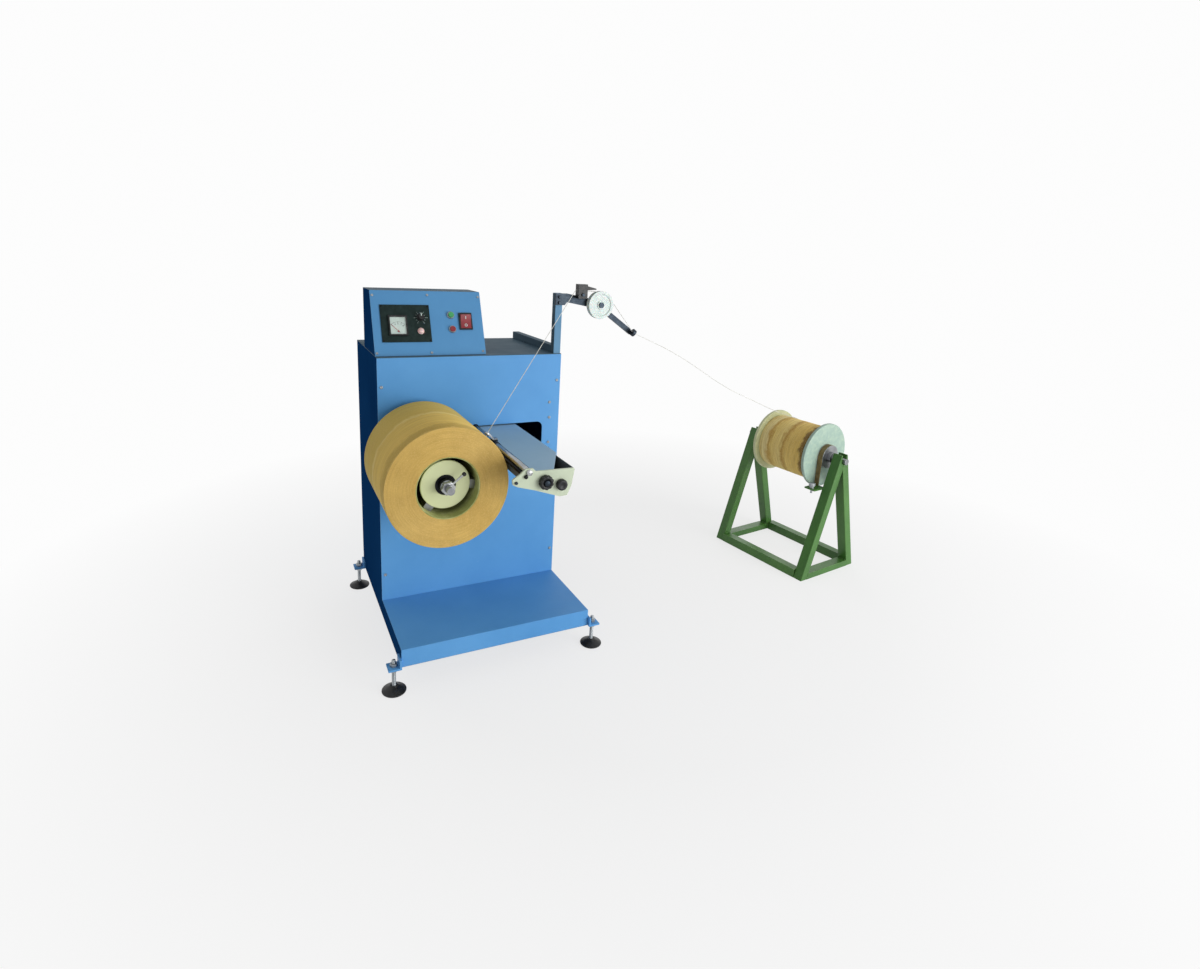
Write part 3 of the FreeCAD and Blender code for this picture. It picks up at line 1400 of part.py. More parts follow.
# ================================================================ list of pieces
pieces = {
    "base_plate": base_plate(), "foot_lugs": foot_lugs(), "foot_studs": foot_studs(),
    "foot_pads": foot_pads(),
    "front_panel": front_panel(), "side_panels": group([side_panel(True), side_panel(False)]),
    "rear_cover": rear_cover(), "top_panel": top_panel(),
    "panel_screws": group(front_screws() + face_screws()),
    "mast_frame": group([mast(), top_rail()]), "cable_gland": cable_gland(),
    "control_box_shell": control_box_shell(), "control_face": control_face(),
    "instrument_plate": instrument_plate(), "meter_case": meter_case(), "meter_needle": meter_needle(),
    "meter_window": meter_window(), "speed_knob": speed_knob(), "pilot_lamp": pilot_lamp(),
    "switch_housings": group(button_bezels() + [rocker_frame()]), "start_button": push_button(start_at),
    "stop_button": push_button(stop_at), "rocker_switch": rocker_switch(),
    "speed_drive": group([speed_drive(), speed_dial_unit()]),
    "spindle_shaft": spindle_shaft(), "mandrel": group([mandrel_drum()] + mandrel_jaws()),
    "core_tube": core_tube(), "wire_coil": wire_coil(), "rear_flange": rear_flange(),
    "clamp_disc": clamp_disc(), "spindle_nut": group([spindle_nut(), lock_collar()]),
    "bearing_beams": group([bearing_beam(front_beam_y), bearing_beam(rear_beam_y), traverse_saddle()]),
    "spindle_bearings": spindle_bearings(),
    "spindle_pulleys": group([spindle_pulley(), toothed_pulley(spindle_x, spindle_z, spindle_radius)]),
    "motor": motor(), "motor_rotor": group([motor_shaft(), motor_pulley()]),
    "drive_belts": group([drive_belt(), toothed_belt()]),
    "traverse_channel": traverse_channel(), "traverse_cover": traverse_cover(),
    "traverse_end_plates": group([traverse_end_plate(), traverse_rear_plate()]),
    "guide_bars": guide_bars(),
    "traverse_screw": group([traverse_screw(), toothed_pulley(screw_x, screw_z, journal_radius)]),
    "screw_hand_knob": screw_hand_knob(), "width_knob": width_knob(),
    "traverse_carriage": traverse_carriage(), "wire_arm": group([wire_arm(), wire_eyelet()]),
    "guide_arm": guide_arm(), "arm_bolts": group(arm_bolts() + [pulley_axle()]), "guide_block": guide_block(),
    "guide_pulley": guide_pulley(), "guide_rod": group([guide_rod(), wire_ring()]),
    "supply_wire": supply_wire(), "coil_wire": coil_wire(),
    "stand_legs": group(a_frame_legs(near_legs_y) + a_frame_legs(far_legs_y)),
    "stand_rails": group(stand_rails() + brake_bracket()),
    "spool_shaft": group([spool_shaft(), brake_drum()] + stop_collars()),
    "supply_spool": supply_spool(), "supply_winding": supply_winding(),
    "brake_band": brake_band(), "brake_screw": brake_screw(),
}

footprint = Part.makeCompound([s for n,
                               s in pieces.items() if not n.endswith("_wire")]).optimalBoundingBox(False)
origin = V((footprint.XMin + footprint.XMax) / 2, (footprint.YMin + footprint.YMax) / 2, 0)
print("origin in drawing coordinates", round(origin.x, 3), round(origin.y, 3))
os.makedirs("parts", exist_ok=True)
for name, shape in pieces.items():
    shape.translate(origin * -1)
    shape.exportStep("parts/" + name + ".step")
print(len(pieces), "nodes,", sum(len(s.Solids) for s in pieces.values()), "solids")
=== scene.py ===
import json
import math
import bpy
import bmesh
import numpy as np
from mathutils import Matrix, Vector


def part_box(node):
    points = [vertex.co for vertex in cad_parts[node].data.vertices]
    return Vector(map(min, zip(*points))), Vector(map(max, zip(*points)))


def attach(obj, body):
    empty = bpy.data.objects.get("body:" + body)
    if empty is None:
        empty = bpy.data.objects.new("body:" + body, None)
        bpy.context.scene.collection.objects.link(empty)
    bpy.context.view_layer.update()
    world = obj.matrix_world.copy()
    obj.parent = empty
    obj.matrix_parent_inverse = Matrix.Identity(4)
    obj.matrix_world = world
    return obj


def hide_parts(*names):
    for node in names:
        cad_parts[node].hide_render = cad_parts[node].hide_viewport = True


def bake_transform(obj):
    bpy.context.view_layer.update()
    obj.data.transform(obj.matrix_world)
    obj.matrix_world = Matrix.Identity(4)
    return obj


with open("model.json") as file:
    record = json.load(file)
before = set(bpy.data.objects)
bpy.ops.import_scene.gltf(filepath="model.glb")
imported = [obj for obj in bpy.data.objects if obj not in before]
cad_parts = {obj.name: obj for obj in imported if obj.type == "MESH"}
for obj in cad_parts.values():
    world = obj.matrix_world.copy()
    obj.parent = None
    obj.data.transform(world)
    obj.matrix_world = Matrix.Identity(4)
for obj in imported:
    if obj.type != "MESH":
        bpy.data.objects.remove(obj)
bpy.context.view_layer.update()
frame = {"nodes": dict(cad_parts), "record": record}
record = frame["record"]
scene = bpy.context.scene
scene.view_settings.view_transform = "Standard"
print("frame loaded,", len(frame["nodes"]), "nodes")

# The drawing's zero: X from the cabinet's left edge, Y back from its front, Z up from the floor.
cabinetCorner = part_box("front_panel")[0]
drawingZero = np.array([cabinetCorner.x, cabinetCorner.y, 0.0])
bodyOfNode = {n: b for b, members in record["behaviour"]["bodies"].items() for n in members}
slotOfNode = {s["node"]: s["material_slot"] for s in record["subparts"]}


def at(x, y, z):
    # drawing millimetres to the row frame's metres
    return drawingZero + np.array([x, y, z]) / 1000


# The view: a long way back, to the left and above, looking slightly down.
cameraSet = dict(
    place=(-323.865, -1956.066, 1251.827), yaw=0.466, pitch=0.242, roll=0.051, focal=650.886, centreX=574.178,
    centreY=413.898, width=1200, height=969, sensor=36.0, near=0.05, far=100.0)


def makeCamera(s):
    # right, up and back columns from the three angles; the picture's middle is moved by the shift
    sideways = np.array([math.cos(s["yaw"]), -math.sin(s["yaw"]), 0.0])
    ahead = np.array([math.sin(s["yaw"]), math.cos(s["yaw"]), 0.0])
    forward = ahead * math.cos(s["pitch"]) - np.array([0.0, 0.0, math.sin(s["pitch"])])
    upright = np.cross(sideways, forward)
    right = math.cos(s["roll"]) * sideways + math.sin(s["roll"]) * upright
    up = math.cos(s["roll"]) * upright - math.sin(s["roll"]) * sideways
    data = bpy.data.cameras.new("camera")
    data.sensor_width = s["sensor"]
    data.lens = s["focal"] / s["width"] * data.sensor_width
    data.shift_x = (s["width"] / 2 - s["centreX"]) / s["width"]
    data.shift_y = (s["centreY"] - s["height"] / 2) / s["width"]
    data.clip_start = s["near"]
    data.clip_end = s["far"]
    camera = bpy.data.objects.new("camera", data)
    matrix = Matrix(np.column_stack([right, up, -forward]).tolist()).to_4x4()
    matrix.translation = Vector(at(*s["place"]))
    camera.matrix_world = matrix
    scene.collection.objects.link(camera)
    scene.camera = camera


makeCamera(cameraSet)
print("camera set")


def node(tree, kind, options=None, **inputs):
    # adds a shader node; an input is a number, a colour or another node's output
    made = tree.nodes.new("ShaderNode" + kind)
    for key, value in (options or {}).items():
        setattr(made, key, value)
    for key, value in inputs.items():
        socket = made.inputs[int(key[1:])] if key[0] == "_" else made.inputs[key.replace("_", " ")]
        if isinstance(value, bpy.types.NodeSocket):
            tree.links.new(value, socket)
        else:
            socket.default_value = value
    return made


def newMaterial(name, **values):
    # Principled material whose plain values go straight to the shader's own sockets
    material = bpy.data.materials.new(name)
    material.use_nodes = True
    shader = material.node_tree.nodes["Principled BSDF"]
    for key, value in values.items():
        shader.inputs[key.replace("_", " ")].default_value = value
    return material, material.node_tree, shader


def objectPoint(tree, centre=None, turn=0.0):
    # the piece's own coordinates, from a centre in drawing millimetres and turned back about Z
    point = node(tree, "TexCoord").outputs["Object"]
    if centre is None:
        return point
    shift = [-float(v) for v in at(*centre)]
    point = node(tree, "Mapping", Vector=point, Location=shift).outputs[0]
    if turn:
        point = node(tree, "Mapping", Vector=point, Rotation=(0, 0, -math.radians(turn))).outputs[0]
    return point


def noise(tree, point, scale, detail, rough=0.55):
    return node(tree, "TexNoise", Vector=point, Scale=scale, Detail=detail, Roughness=rough).outputs["Fac"]


def ramp(tree, value, stops):
    # colour ramp through stops of a place and a colour from 0 to 255
    made = node(tree, "ValToRGB", Fac=value)
    elements = made.color_ramp.elements
    while len(elements) < len(stops):
        elements.new(0.5)
    for element, (place, colour) in zip(elements, stops):
        element.position = place
        element.color = (*srgb(*colour), 1)
    return made.outputs["Color"]


def level(tree, value, low, high, outLow=0.0, outHigh=1.0):
    return node(tree, "MapRange", _0=value, _1=low, _2=high, _3=outLow, _4=outHigh).outputs[0]


def blendColour(tree, factor, first, second):
    # either side is another node's output or a plain linear colour
    sides = [v if isinstance(v, bpy.types.NodeSocket) else (*v, 1) for v in (first, second)]
    return node(tree, "Mix", {"data_type": "RGBA"}, _0=factor, _6=sides[0], _7=sides[1]).outputs[2]


def maths(tree, operation, first, second=0.0):
    return node(tree, "Math", {"operation": operation}, _0=first, _1=second).outputs[0]


def srgb(red, green, blue):
    # a colour as a painter's card gives it, 0 to 255, in the renderer's linear values
    parts = [v / 255 for v in (red, green, blue)]
    return [p / 12.92 if p < 0.04045 else ((p + 0.055) / 1.055) ** 2.4 for p in parts]


def edgeMask(tree, radius):
    # 1 on sharp edges, where the rounded normal leaves the true one
    rounded = node(tree, "Bevel", {"samples": 4}, Radius=radius).outputs[0]
    true = node(tree, "NewGeometry").outputs["Normal"]
    along = node(tree, "VectorMath", {"operation": "DOT_PRODUCT"}, _0=rounded, _1=true).outputs["Value"]
    return level(tree, along, 0.995, 0.85)


def linkFinish(tree, shader, colour=None, rough=None, relief=None):
    # colour and roughness from other nodes, and relief as a height's node, its strength and its depth
    if colour:
        tree.links.new(colour, shader.inputs["Base Color"])
    if rough:
        tree.links.new(rough, shader.inputs["Roughness"])
    if relief:
        made = node(tree, "Bump", Height=relief[0], Strength=relief[1], Distance=relief[2])
        tree.links.new(made.outputs[0], shader.inputs["Normal"])


def lookTable(keys, rows):
    # rows of values for each slot, put under their keys; the colours are 0 to 255
    shades = ("colour", "dark", "worn", "deep", "pale")
    return {slot: {key: srgb(*value) if key in shades else value for key, value in zip(keys.split(), row)}
            for slot, row in rows.items()}


# Painted metal: each finish with its colour, its darker clouds and the colour of its rubbed edges.
paintLooks = lookTable("name colour dark worn rough peel wear shine", {
    "cabinet_paint": ("bluePaint", (100, 166, 224), (86, 152, 212), (146, 196, 234), 0.46, 0.05, 0.3, 0.2),
    "face_paint": ("facePaint", (90, 152, 202), (80, 140, 190), (136, 184, 214), 0.46, 0.05, 0.3, 0.3),
    # painted shade: this navy is the blue paint darkened for the sides that face away from the light
    "side_paint": ("navyPaintedShade", (20, 66, 116), (14, 56, 104), (60, 108, 156), 0.55, 0.05, 0.4, 0.0),
    # painted shade: this slate is the blue paint darkened for tops, the mast's rail and the mast's left face
    "top_paint": ("slatePaintedShade", (80, 104, 118), (70, 92, 106), (120, 146, 160), 0.52, 0.06, 0.4, 0.05),
    "mast_paint": ("mastPaint", (106, 152, 186), (92, 138, 172), (150, 184, 206), 0.5, 0.05, 0.4, 0.2),
    "cover_paint": ("coverPaint", (162, 194, 214), (148, 182, 206), (200, 216, 226), 0.46, 0.06, 0.4, 0.3),
    "cream_paint": ("creamPaint", (206, 216, 190), (188, 200, 176), (224, 230, 210), 0.44, 0.06, 0.4, 0.35),
    "disc_paint": ("discPaint", (224, 230, 184), (210, 216, 168), (236, 240, 208), 0.42, 0.05, 0.3, 0.4),
    "stand_paint": ("greenPaint", (82, 132, 58), (48, 92, 36), (156, 190, 124), 0.38, 0.10, 0.9, 0.4),
    "cast_iron": ("castIron", (58, 60, 62), (38, 40, 43), (112, 110, 108), 0.58, 0.35, 0.6, 0.25),
    "channel_paint": ("greyPaint", (92, 100, 104), (74, 82, 88), (140, 146, 148), 0.5, 0.06, 0.5, 0.3),
})
paintSet = dict(
    cloudScale=2.6, edge=0.0016, rubScale=46.0, scuffTurn=(0.3, 0.7, 0.2), scuffStretch=(9.0, 130.0, 22.0),
    scuffScale=3.0, scuffShow=0.25, glossScale=14.0, smoother=0.06, rougher=0.1, skinScale=620.0,
    skinHeight=0.0006)


def paintMaterial(look, s):
    # enamel: cloudy colour, orange-peel skin, paler rubbed edges and a few fine scuffs
    material, tree, shader = newMaterial(look["name"], Specular_IOR_Level=look["shine"])
    point = objectPoint(tree)
    cloud = level(tree, noise(tree, point, s["cloudScale"], 5.0, 0.6), 0.3, 0.7)
    colour = blendColour(tree, cloud, look["dark"], look["colour"])
    rub = level(tree, noise(tree, point, s["rubScale"], 6.0), 0.42, 0.62)
    rub = maths(tree, "MULTIPLY", edgeMask(tree, s["edge"]), rub)
    colour = blendColour(tree, maths(tree, "MULTIPLY", rub, look["wear"]), colour, look["worn"])
    stretched = node(tree, "Mapping", Vector=point, Rotation=s["scuffTurn"], Scale=s["scuffStretch"])
    scuff = level(tree, noise(tree, stretched.outputs[0], s["scuffScale"], 4.0, 0.7), 0.70, 0.78)
    colour = blendColour(tree, maths(tree, "MULTIPLY", scuff, s["scuffShow"]), colour, look["worn"])
    rough = level(tree, noise(tree, point, s["glossScale"], 4.0), 0.2, 0.8, look["rough"] - s["smoother"],
                  look["rough"] + s["rougher"])
    skin = noise(tree, point, s["skinScale"], 1.0)
    linkFinish(tree, shader, colour, rough, (skin, look["peel"], s["skinHeight"]))
    return material


# Bare metal, with the way its tool marks run.
metalLooks = lookTable("name colour deep rough grain", {
    "dark_steel": ("darkSteel", (66, 74, 82), (36, 43, 51), 0.42, (40.0, 40.0, 900.0)),
    "black_steel": ("blackSteel", (44, 45, 47), (24, 25, 27), 0.36, (600.0, 40.0, 600.0)),
    "bare_steel": ("machinedSteel", (170, 172, 174), (132, 134, 137), 0.3, (700.0, 60.0, 700.0)),
    "bright_steel": ("polishedSteel", (184, 186, 187), (146, 149, 151), 0.24, (500.0, 20.0, 500.0)),
    "zinc_steel": ("zincSteel", (178, 182, 184), (140, 146, 150), 0.38, (160.0, 160.0, 160.0)),
    "bare_aluminium": ("aluminium", (200, 202, 204), (172, 174, 178), 0.36, (30.0, 800.0, 30.0)),
})
metalSet = dict(
    tarnishScale=22.0, marksShow=0.35, smoother=0.05, rougher=0.12, marksBump=0.12, marksHeight=0.0002)


def metalMaterial(look, s):
    # bare metal: tool marks along one way, cloudy tarnish and uneven gloss
    material, tree, shader = newMaterial(look["name"], Metallic=1.0)
    point = objectPoint(tree)
    tarnish = level(tree, noise(tree, point, s["tarnishScale"], 5.0, 0.65), 0.32, 0.68)
    colour = blendColour(tree, tarnish, look["deep"], look["colour"])
    fine = noise(tree, node(tree, "Mapping", Vector=point, Scale=look["grain"]).outputs[0], 1.0, 2.0, 0.6)
    colour = blendColour(tree, level(tree, fine, 0.3, 0.7, 0.0, s["marksShow"]), colour, look["deep"])
    rough = level(tree, fine, 0.2, 0.8, look["rough"] - s["smoother"], look["rough"] + s["rougher"])
    linkFinish(tree, shader, colour, rough, (fine, s["marksBump"], s["marksHeight"]))
    return material


# Plastics, card and rubber, some with values of their own for the shader.
plasticLooks = lookTable("name colour pale rough grain gloss", {
    "black_plastic": ("blackPlastic", (19, 20, 21), (38, 40, 42), 0.42, 900.0, 0.1),
    "panel_plastic": ("platePlastic", (24, 38, 36), (38, 54, 52), 0.5, 1200.0, 0.0),
    "white_plastic": ("whiteNylon", (204, 216, 212), (222, 231, 228), 0.4, 300.0, 0.0),
    "cream_plastic": ("spoolPlastic", (150, 176, 164), (176, 196, 176), 0.48, 260.0, 0.0),
    "old_plastic": ("agedPlastic", (196, 200, 154), (212, 214, 172), 0.48, 260.0, 0.0),
    "green_plastic": ("greenPlastic", (34, 142, 74), (60, 170, 98), 0.28, 200.0, 0.4),
    "red_plastic": ("redPlastic", (184, 30, 44), (206, 52, 60), 0.3, 200.0, 0.4),
    "rocker_plastic": ("rockerPlastic", (126, 16, 30), (146, 30, 42), 0.42, 200.0, 0.15),
    "lamp_plastic": ("lampLens", (226, 188, 186), (240, 212, 204), 0.24, 120.0, 0.6),
    "card": ("meterCard", (224, 236, 232), (234, 242, 238), 0.55, 800.0, 0.0),
    "belt_rubber": ("beltRubber", (22, 22, 23), (44, 44, 44), 0.72, 500.0, 0.0),
})
plasticExtras = {
    "black_plastic": dict(Specular_IOR_Level=0.3), "panel_plastic": dict(Specular_IOR_Level=0.12),
    "belt_rubber": dict(Specular_IOR_Level=0.25),
    "white_plastic": dict(Subsurface_Weight=0.15, Subsurface_Scale=0.004),
    "lamp_plastic": dict(Subsurface_Weight=0.3, Subsurface_Scale=0.006),
}
plasticSet = dict(
    bloomScale=60.0, glossScale=90.0, smoother=0.08, rougher=0.1, grainBump=0.08, grainHeight=0.0004)


def plasticMaterial(look, s, extra):
    # moulded plastic: fine spark-eroded grain, faint paler bloom and finger-worn gloss
    material, tree, shader = newMaterial(look["name"], Coat_Weight=look["gloss"], Coat_Roughness=0.1, **extra)
    point = objectPoint(tree)
    bloom = level(tree, noise(tree, point, s["bloomScale"], 4.0, 0.6), 0.4, 0.75)
    colour = blendColour(tree, bloom, look["colour"], look["pale"])
    gloss = level(tree, noise(tree, point, s["glossScale"], 3.0), 0.25, 0.75, look["rough"] - s["smoother"],
                  look["rough"] + s["rougher"])
    grain = noise(tree, point, look["grain"], 2.0)
    linkFinish(tree, shader, colour, gloss, (grain, s["grainBump"], s["grainHeight"]))
    return material


glassLook = dict(
    tint=(0.93, 0.97, 0.95, 1), index=1.45, rough=0.03, waveScale=40.0, waveBump=0.01, waveHeight=0.0002)


def glassMaterial(look):
    # clear moulded window with a very slight wave
    material, tree, shader = newMaterial("meterGlass", Transmission_Weight=1.0, IOR=look["index"],
                                         Roughness=look["rough"], Base_Color=look["tint"])
    wave = noise(tree, objectPoint(tree), look["waveScale"], 1.0)
    linkFinish(tree, shader, relief=(wave, look["waveBump"], look["waveHeight"]))
    return material


leatherLook = dict(
    colour=srgb(134, 114, 70), dark=srgb(94, 78, 46), pale=srgb(170, 152, 106), poreScale=620.0,
    patchScale=55.0, edge=0.0012, edgeShow=0.7, rough=(0.62, 0.46), poreBump=0.35, poreHeight=0.0004)


def leatherMaterial(look):
    # oiled strap leather: pored grain, darker patches and paler rubbed edges
    material, tree, shader = newMaterial("brakeLeather", Specular_IOR_Level=0.4)
    point = objectPoint(tree)
    pores = node(tree, "TexVoronoi", {"feature": "DISTANCE_TO_EDGE"}, Vector=point, Scale=look["poreScale"])
    patch = level(tree, noise(tree, point, look["patchScale"], 5.0), 0.3, 0.7)
    colour = blendColour(tree, patch, look["dark"], look["colour"])
    rub = maths(tree, "MULTIPLY", edgeMask(tree, look["edge"]), look["edgeShow"])
    colour = blendColour(tree, rub, colour, look["pale"])
    height = level(tree, pores.outputs[0], 0.0, 0.12)
    linkFinish(tree, shader, colour, level(tree, patch, 0.0, 1.0, *look["rough"]),
               (height, look["poreBump"], look["poreHeight"]))
    return material


boardLook = dict(
    centre=(124, 0, 621), colour=srgb(184, 190, 122), dark=srgb(146, 152, 90), pale=srgb(204, 206, 146),
    turnPitch=0.06, seam=(0.485, 0.5), fibre=(160, 1500, 160), spotScale=30.0, bump=0.2, height=0.0004)


def boardMaterial(look):
    # spirally wound board: paper fibres, and a darker seam line that climbs round the tube
    material, tree, shader = newMaterial("coreBoard", Roughness=0.85, Specular_IOR_Level=0.2)
    point = objectPoint(tree, look["centre"])
    parts = node(tree, "SeparateXYZ", Vector=point)
    turn = maths(tree, "ARCTAN2", parts.outputs[2], parts.outputs[0])
    climb = maths(tree, "ADD", maths(tree, "DIVIDE", turn, math.tau),
                  maths(tree, "DIVIDE", parts.outputs[1], look["turnPitch"]))
    fromSeam = maths(tree, "ABSOLUTE", maths(tree, "SUBTRACT", maths(tree, "FRACT", climb), 0.5))
    fibre = noise(tree, node(tree, "Mapping", Vector=point, Scale=look["fibre"]).outputs[0], 1.0, 4.0, 0.7)
    colour = blendColour(tree, level(tree, fibre, 0.3, 0.7), look["dark"], look["colour"])
    spots = level(tree, noise(tree, point, look["spotScale"], 3.0), 0.45, 0.7)
    colour = blendColour(tree, spots, colour, look["pale"])
    colour = blendColour(tree, level(tree, fromSeam, *look["seam"]), colour, look["dark"])
    linkFinish(tree, shader, colour, None, (fibre, look["bump"], look["height"]))
    return material


# Wound wire: bands are (place along the winding, colour), from its front end to its rear end.
# Beside the winding's own steps they hold painted light: the coil's side is lifted above its end face to make
# up for shade, and the spool has a painted shadow by its near flange and painted highlights in its pale
# bands.
windingLooks = {
    "wound_wire": dict(
        name="coilWire", centre=(124, 0, 621), turn=0.0, pitch=0.0022, front=-0.340, length=0.313,
        contrast=0.5, skew=0.0, dark=srgb(186, 150, 72), colour=srgb(220, 186, 104), pale=srgb(234, 206, 134),
        # the coil's side colours are lifted above its end face's to make up for shade on the side
        bands=((0.0, (232, 202, 116)), (0.015, (202, 172, 84)), (0.12, (208, 178, 88)),
               (0.17, (240, 208, 110)), (0.50, (232, 202, 106)), (0.53, (238, 216, 138)),
               (0.57, (214, 188, 94)), (1.0, (206, 184, 96)))),
    "spool_wire": dict(
        name="spoolWire", centre=(1757.2, 34.2, 490), turn=7.2, pitch=0.0020, front=-0.132, length=0.238,
        contrast=0.7, skew=0.012, dark=srgb(176, 134, 54), colour=srgb(232, 200, 118),
        pale=srgb(250, 234, 172),
        # painted shadow at the near flange's end, painted highlights in the palest bands
        bands=((0.0, (84, 62, 24)), (0.07, (128, 98, 40)), (0.11, (250, 216, 120)),
               (0.36, (252, 222, 130)), (0.44, (190, 144, 58)), (0.50, (254, 232, 150)),
               (0.68, (252, 226, 138)), (0.75, (204, 162, 72)), (0.82, (255, 242, 178)),
               (1.0, (252, 230, 156)))),
}
windingSet = dict(
    shine=0.35, around=1.6, turnScale=0.9, patchScale=24.0, fleckScale=260.0, wander=0.010, endPlain=0.45,
    endDepth=(0.0012, 0.0030), fleckShow=0.45, rough=(0.42, 0.62), bump=0.2, height=0.0004)


def windingMaterial(look, s):
    # wound wire: bands along the winding, which hold painted light besides the lay's own steps, a plainer end
    # face, a shade of its own for every turn, patches where the lay changes, and fine flecks
    material, tree, shader = newMaterial(look["name"], Specular_IOR_Level=s["shine"])
    point = objectPoint(tree, look["centre"], look["turn"])
    parts = node(tree, "SeparateXYZ", Vector=point).outputs
    flat = node(tree, "CombineXYZ", X=parts[0], Z=parts[2]).outputs[0]
    radius = node(tree, "VectorMath", {"operation": "LENGTH"}, _0=flat).outputs["Value"]
    outward = node(tree, "VectorMath", {"operation": "NORMALIZE"}, _0=flat).outputs[0]
    around = node(tree, "SeparateXYZ", Vector=outward).outputs
    across = maths(tree, "DIVIDE", maths(tree, "ADD", radius, parts[1]), look["pitch"])
    lay = node(tree, "CombineXYZ", X=across, Y=maths(tree, "MULTIPLY", around[0], s["around"]),
               Z=maths(tree, "MULTIPLY", around[2], s["around"])).outputs[0]
    turnShade = noise(tree, lay, s["turnScale"], 2.0, 0.6)
    patch = noise(tree, point, s["patchScale"], 4.0, 0.6)
    fleck = noise(tree, point, s["fleckScale"], 3.0, 0.65)
    shifted = maths(tree, "ADD", parts[1], level(tree, patch, 0.3, 0.7, -s["wander"], s["wander"]))
    # the skew tilts the bands, and with them the spool's painted highlights, across the winding
    shifted = maths(tree, "ADD", shifted, maths(tree, "MULTIPLY", around[0], look["skew"]))
    along = level(tree, shifted, look["front"], look["front"] + look["length"])
    # painted light: the bands lift the coil's side and give the spool its painted highlights and its painted
    # shadow by the near flange
    side = ramp(tree, along, look["bands"])
    end = blendColour(tree, level(tree, patch, 0.32, 0.66), look["dark"], look["colour"])
    end = blendColour(tree, s["endPlain"], end, look["colour"])
    isEnd = level(tree, parts[1], *(look["front"] + depth for depth in s["endDepth"]), 1.0, 0.0)
    colour = blendColour(tree, isEnd, side, end)
    shade = level(tree, turnShade, 0.36, 0.72, 0.0, look["contrast"])
    colour = blendColour(tree, shade, colour, look["dark"])
    colour = blendColour(tree, level(tree, fleck, 0.5, 0.72, 0.0, s["fleckShow"]), colour, look["pale"])
    rough = level(tree, fleck, 0.2, 0.8, *s["rough"])
    linkFinish(tree, shader, colour, rough, (fleck, s["bump"], s["height"]))
    return material


feedLook = dict(
    colour=srgb(222, 222, 216), dark=srgb(188, 186, 172), pale=srgb(238, 238, 234), dullScale=60.0,
    fleckScale=420.0, rough=(0.5, 0.34))


def feedMaterial(look):
    # the single running wire: pale lacquer with small dull stretches
    material, tree, shader = newMaterial("feedWire", Coat_Weight=0.2, Coat_Roughness=0.2)
    point = objectPoint(tree)
    dull = level(tree, noise(tree, point, look["dullScale"], 4.0, 0.6), 0.35, 0.65)
    colour = blendColour(tree, dull, look["dark"], look["colour"])
    fleck = level(tree, noise(tree, point, look["fleckScale"], 2.0), 0.5, 0.7)
    colour = blendColour(tree, fleck, colour, look["pale"])
    linkFinish(tree, shader, colour, level(tree, dull, 0.0, 1.0, *look["rough"]))
    return material


materials = {slot: paintMaterial(look, paintSet) for slot, look in paintLooks.items()}
materials |= {slot: metalMaterial(look, metalSet) for slot, look in metalLooks.items()}
materials |= {slot: plasticMaterial(look, plasticSet, plasticExtras.get(slot, {}))
              for slot, look in plasticLooks.items()}
materials |= {slot: windingMaterial(look, windingSet) for slot, look in windingLooks.items()}
materials |= {"window_glass": glassMaterial(glassLook), "brake_leather": leatherMaterial(leatherLook),
              "core_board": boardMaterial(boardLook), "feed_wire": feedMaterial(feedLook)}
print("materials made:", len(materials))


def gridQuads(rows, columns, closeRows=False):
    # quads between neighbouring points of a rows x columns grid, which is round in its columns
    i, j = np.meshgrid(np.arange(rows if closeRows else rows - 1), np.arange(columns), indexing="ij")
    up, across = (i + 1) % rows, (j + 1) % columns
    quads = np.stack([i * columns + j, i * columns + across, up * columns + across, up * columns + j], -1)
    return quads.reshape(-1, 4)


def gridPart(grid, material, closeRows=False, smooth=True):
    # a two-parameter surface as one part of a piece: its points, faces, material and shading
    return grid.reshape(-1, 3), gridQuads(*grid.shape[:2], closeRows).tolist(), material, smooth


def makePiece(name, parts, nodes, body=None):
    # all parts become one piece, which stands for its nodes and rides on their body
    points, faces, marks, soft, finishes = [], [], [], [], []
    for places, corners, material, smooth in parts:
        if material not in finishes:
            finishes.append(material)
        start = len(points)
        points += np.asarray(places).tolist()
        faces += [[start + c for c in face] for face in corners]
        marks += [finishes.index(material)] * len(corners)
        soft += [smooth] * len(corners)
    mesh = bpy.data.meshes.new(name)
    mesh.from_pydata(points, [], faces)
    mesh.polygons.foreach_set("material_index", marks)
    mesh.polygons.foreach_set("use_smooth", soft)
    work = bmesh.new()
    work.from_mesh(mesh)
    bmesh.ops.remove_doubles(work, verts=work.verts, dist=2e-6)
    bmesh.ops.recalc_face_normals(work, faces=work.faces)
    work.to_mesh(mesh)
    work.free()
    for finish in finishes:
        mesh.materials.append(materials[finish])
    piece = bpy.data.objects.new(name, mesh)
    scene.collection.objects.link(piece)
    nodes = [nodes] if isinstance(nodes, str) else nodes
    if body != "blended":
        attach(piece, body or bodyOfNode[nodes[0]])
    if nodes[0] in frame["nodes"]:
        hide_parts(*nodes)
    return piece


def roundEdges(piece, width, segments=2, angle=32):
    # the small radius that sheared, cast or turned edges really have, in millimetres
    edge = piece.modifiers.new("roundEdges", "BEVEL")
    edge.width = width / 1000
    edge.segments = segments
    edge.limit_method = "ANGLE"
    edge.angle_limit = math.radians(angle)
    edge.harden_normals = True


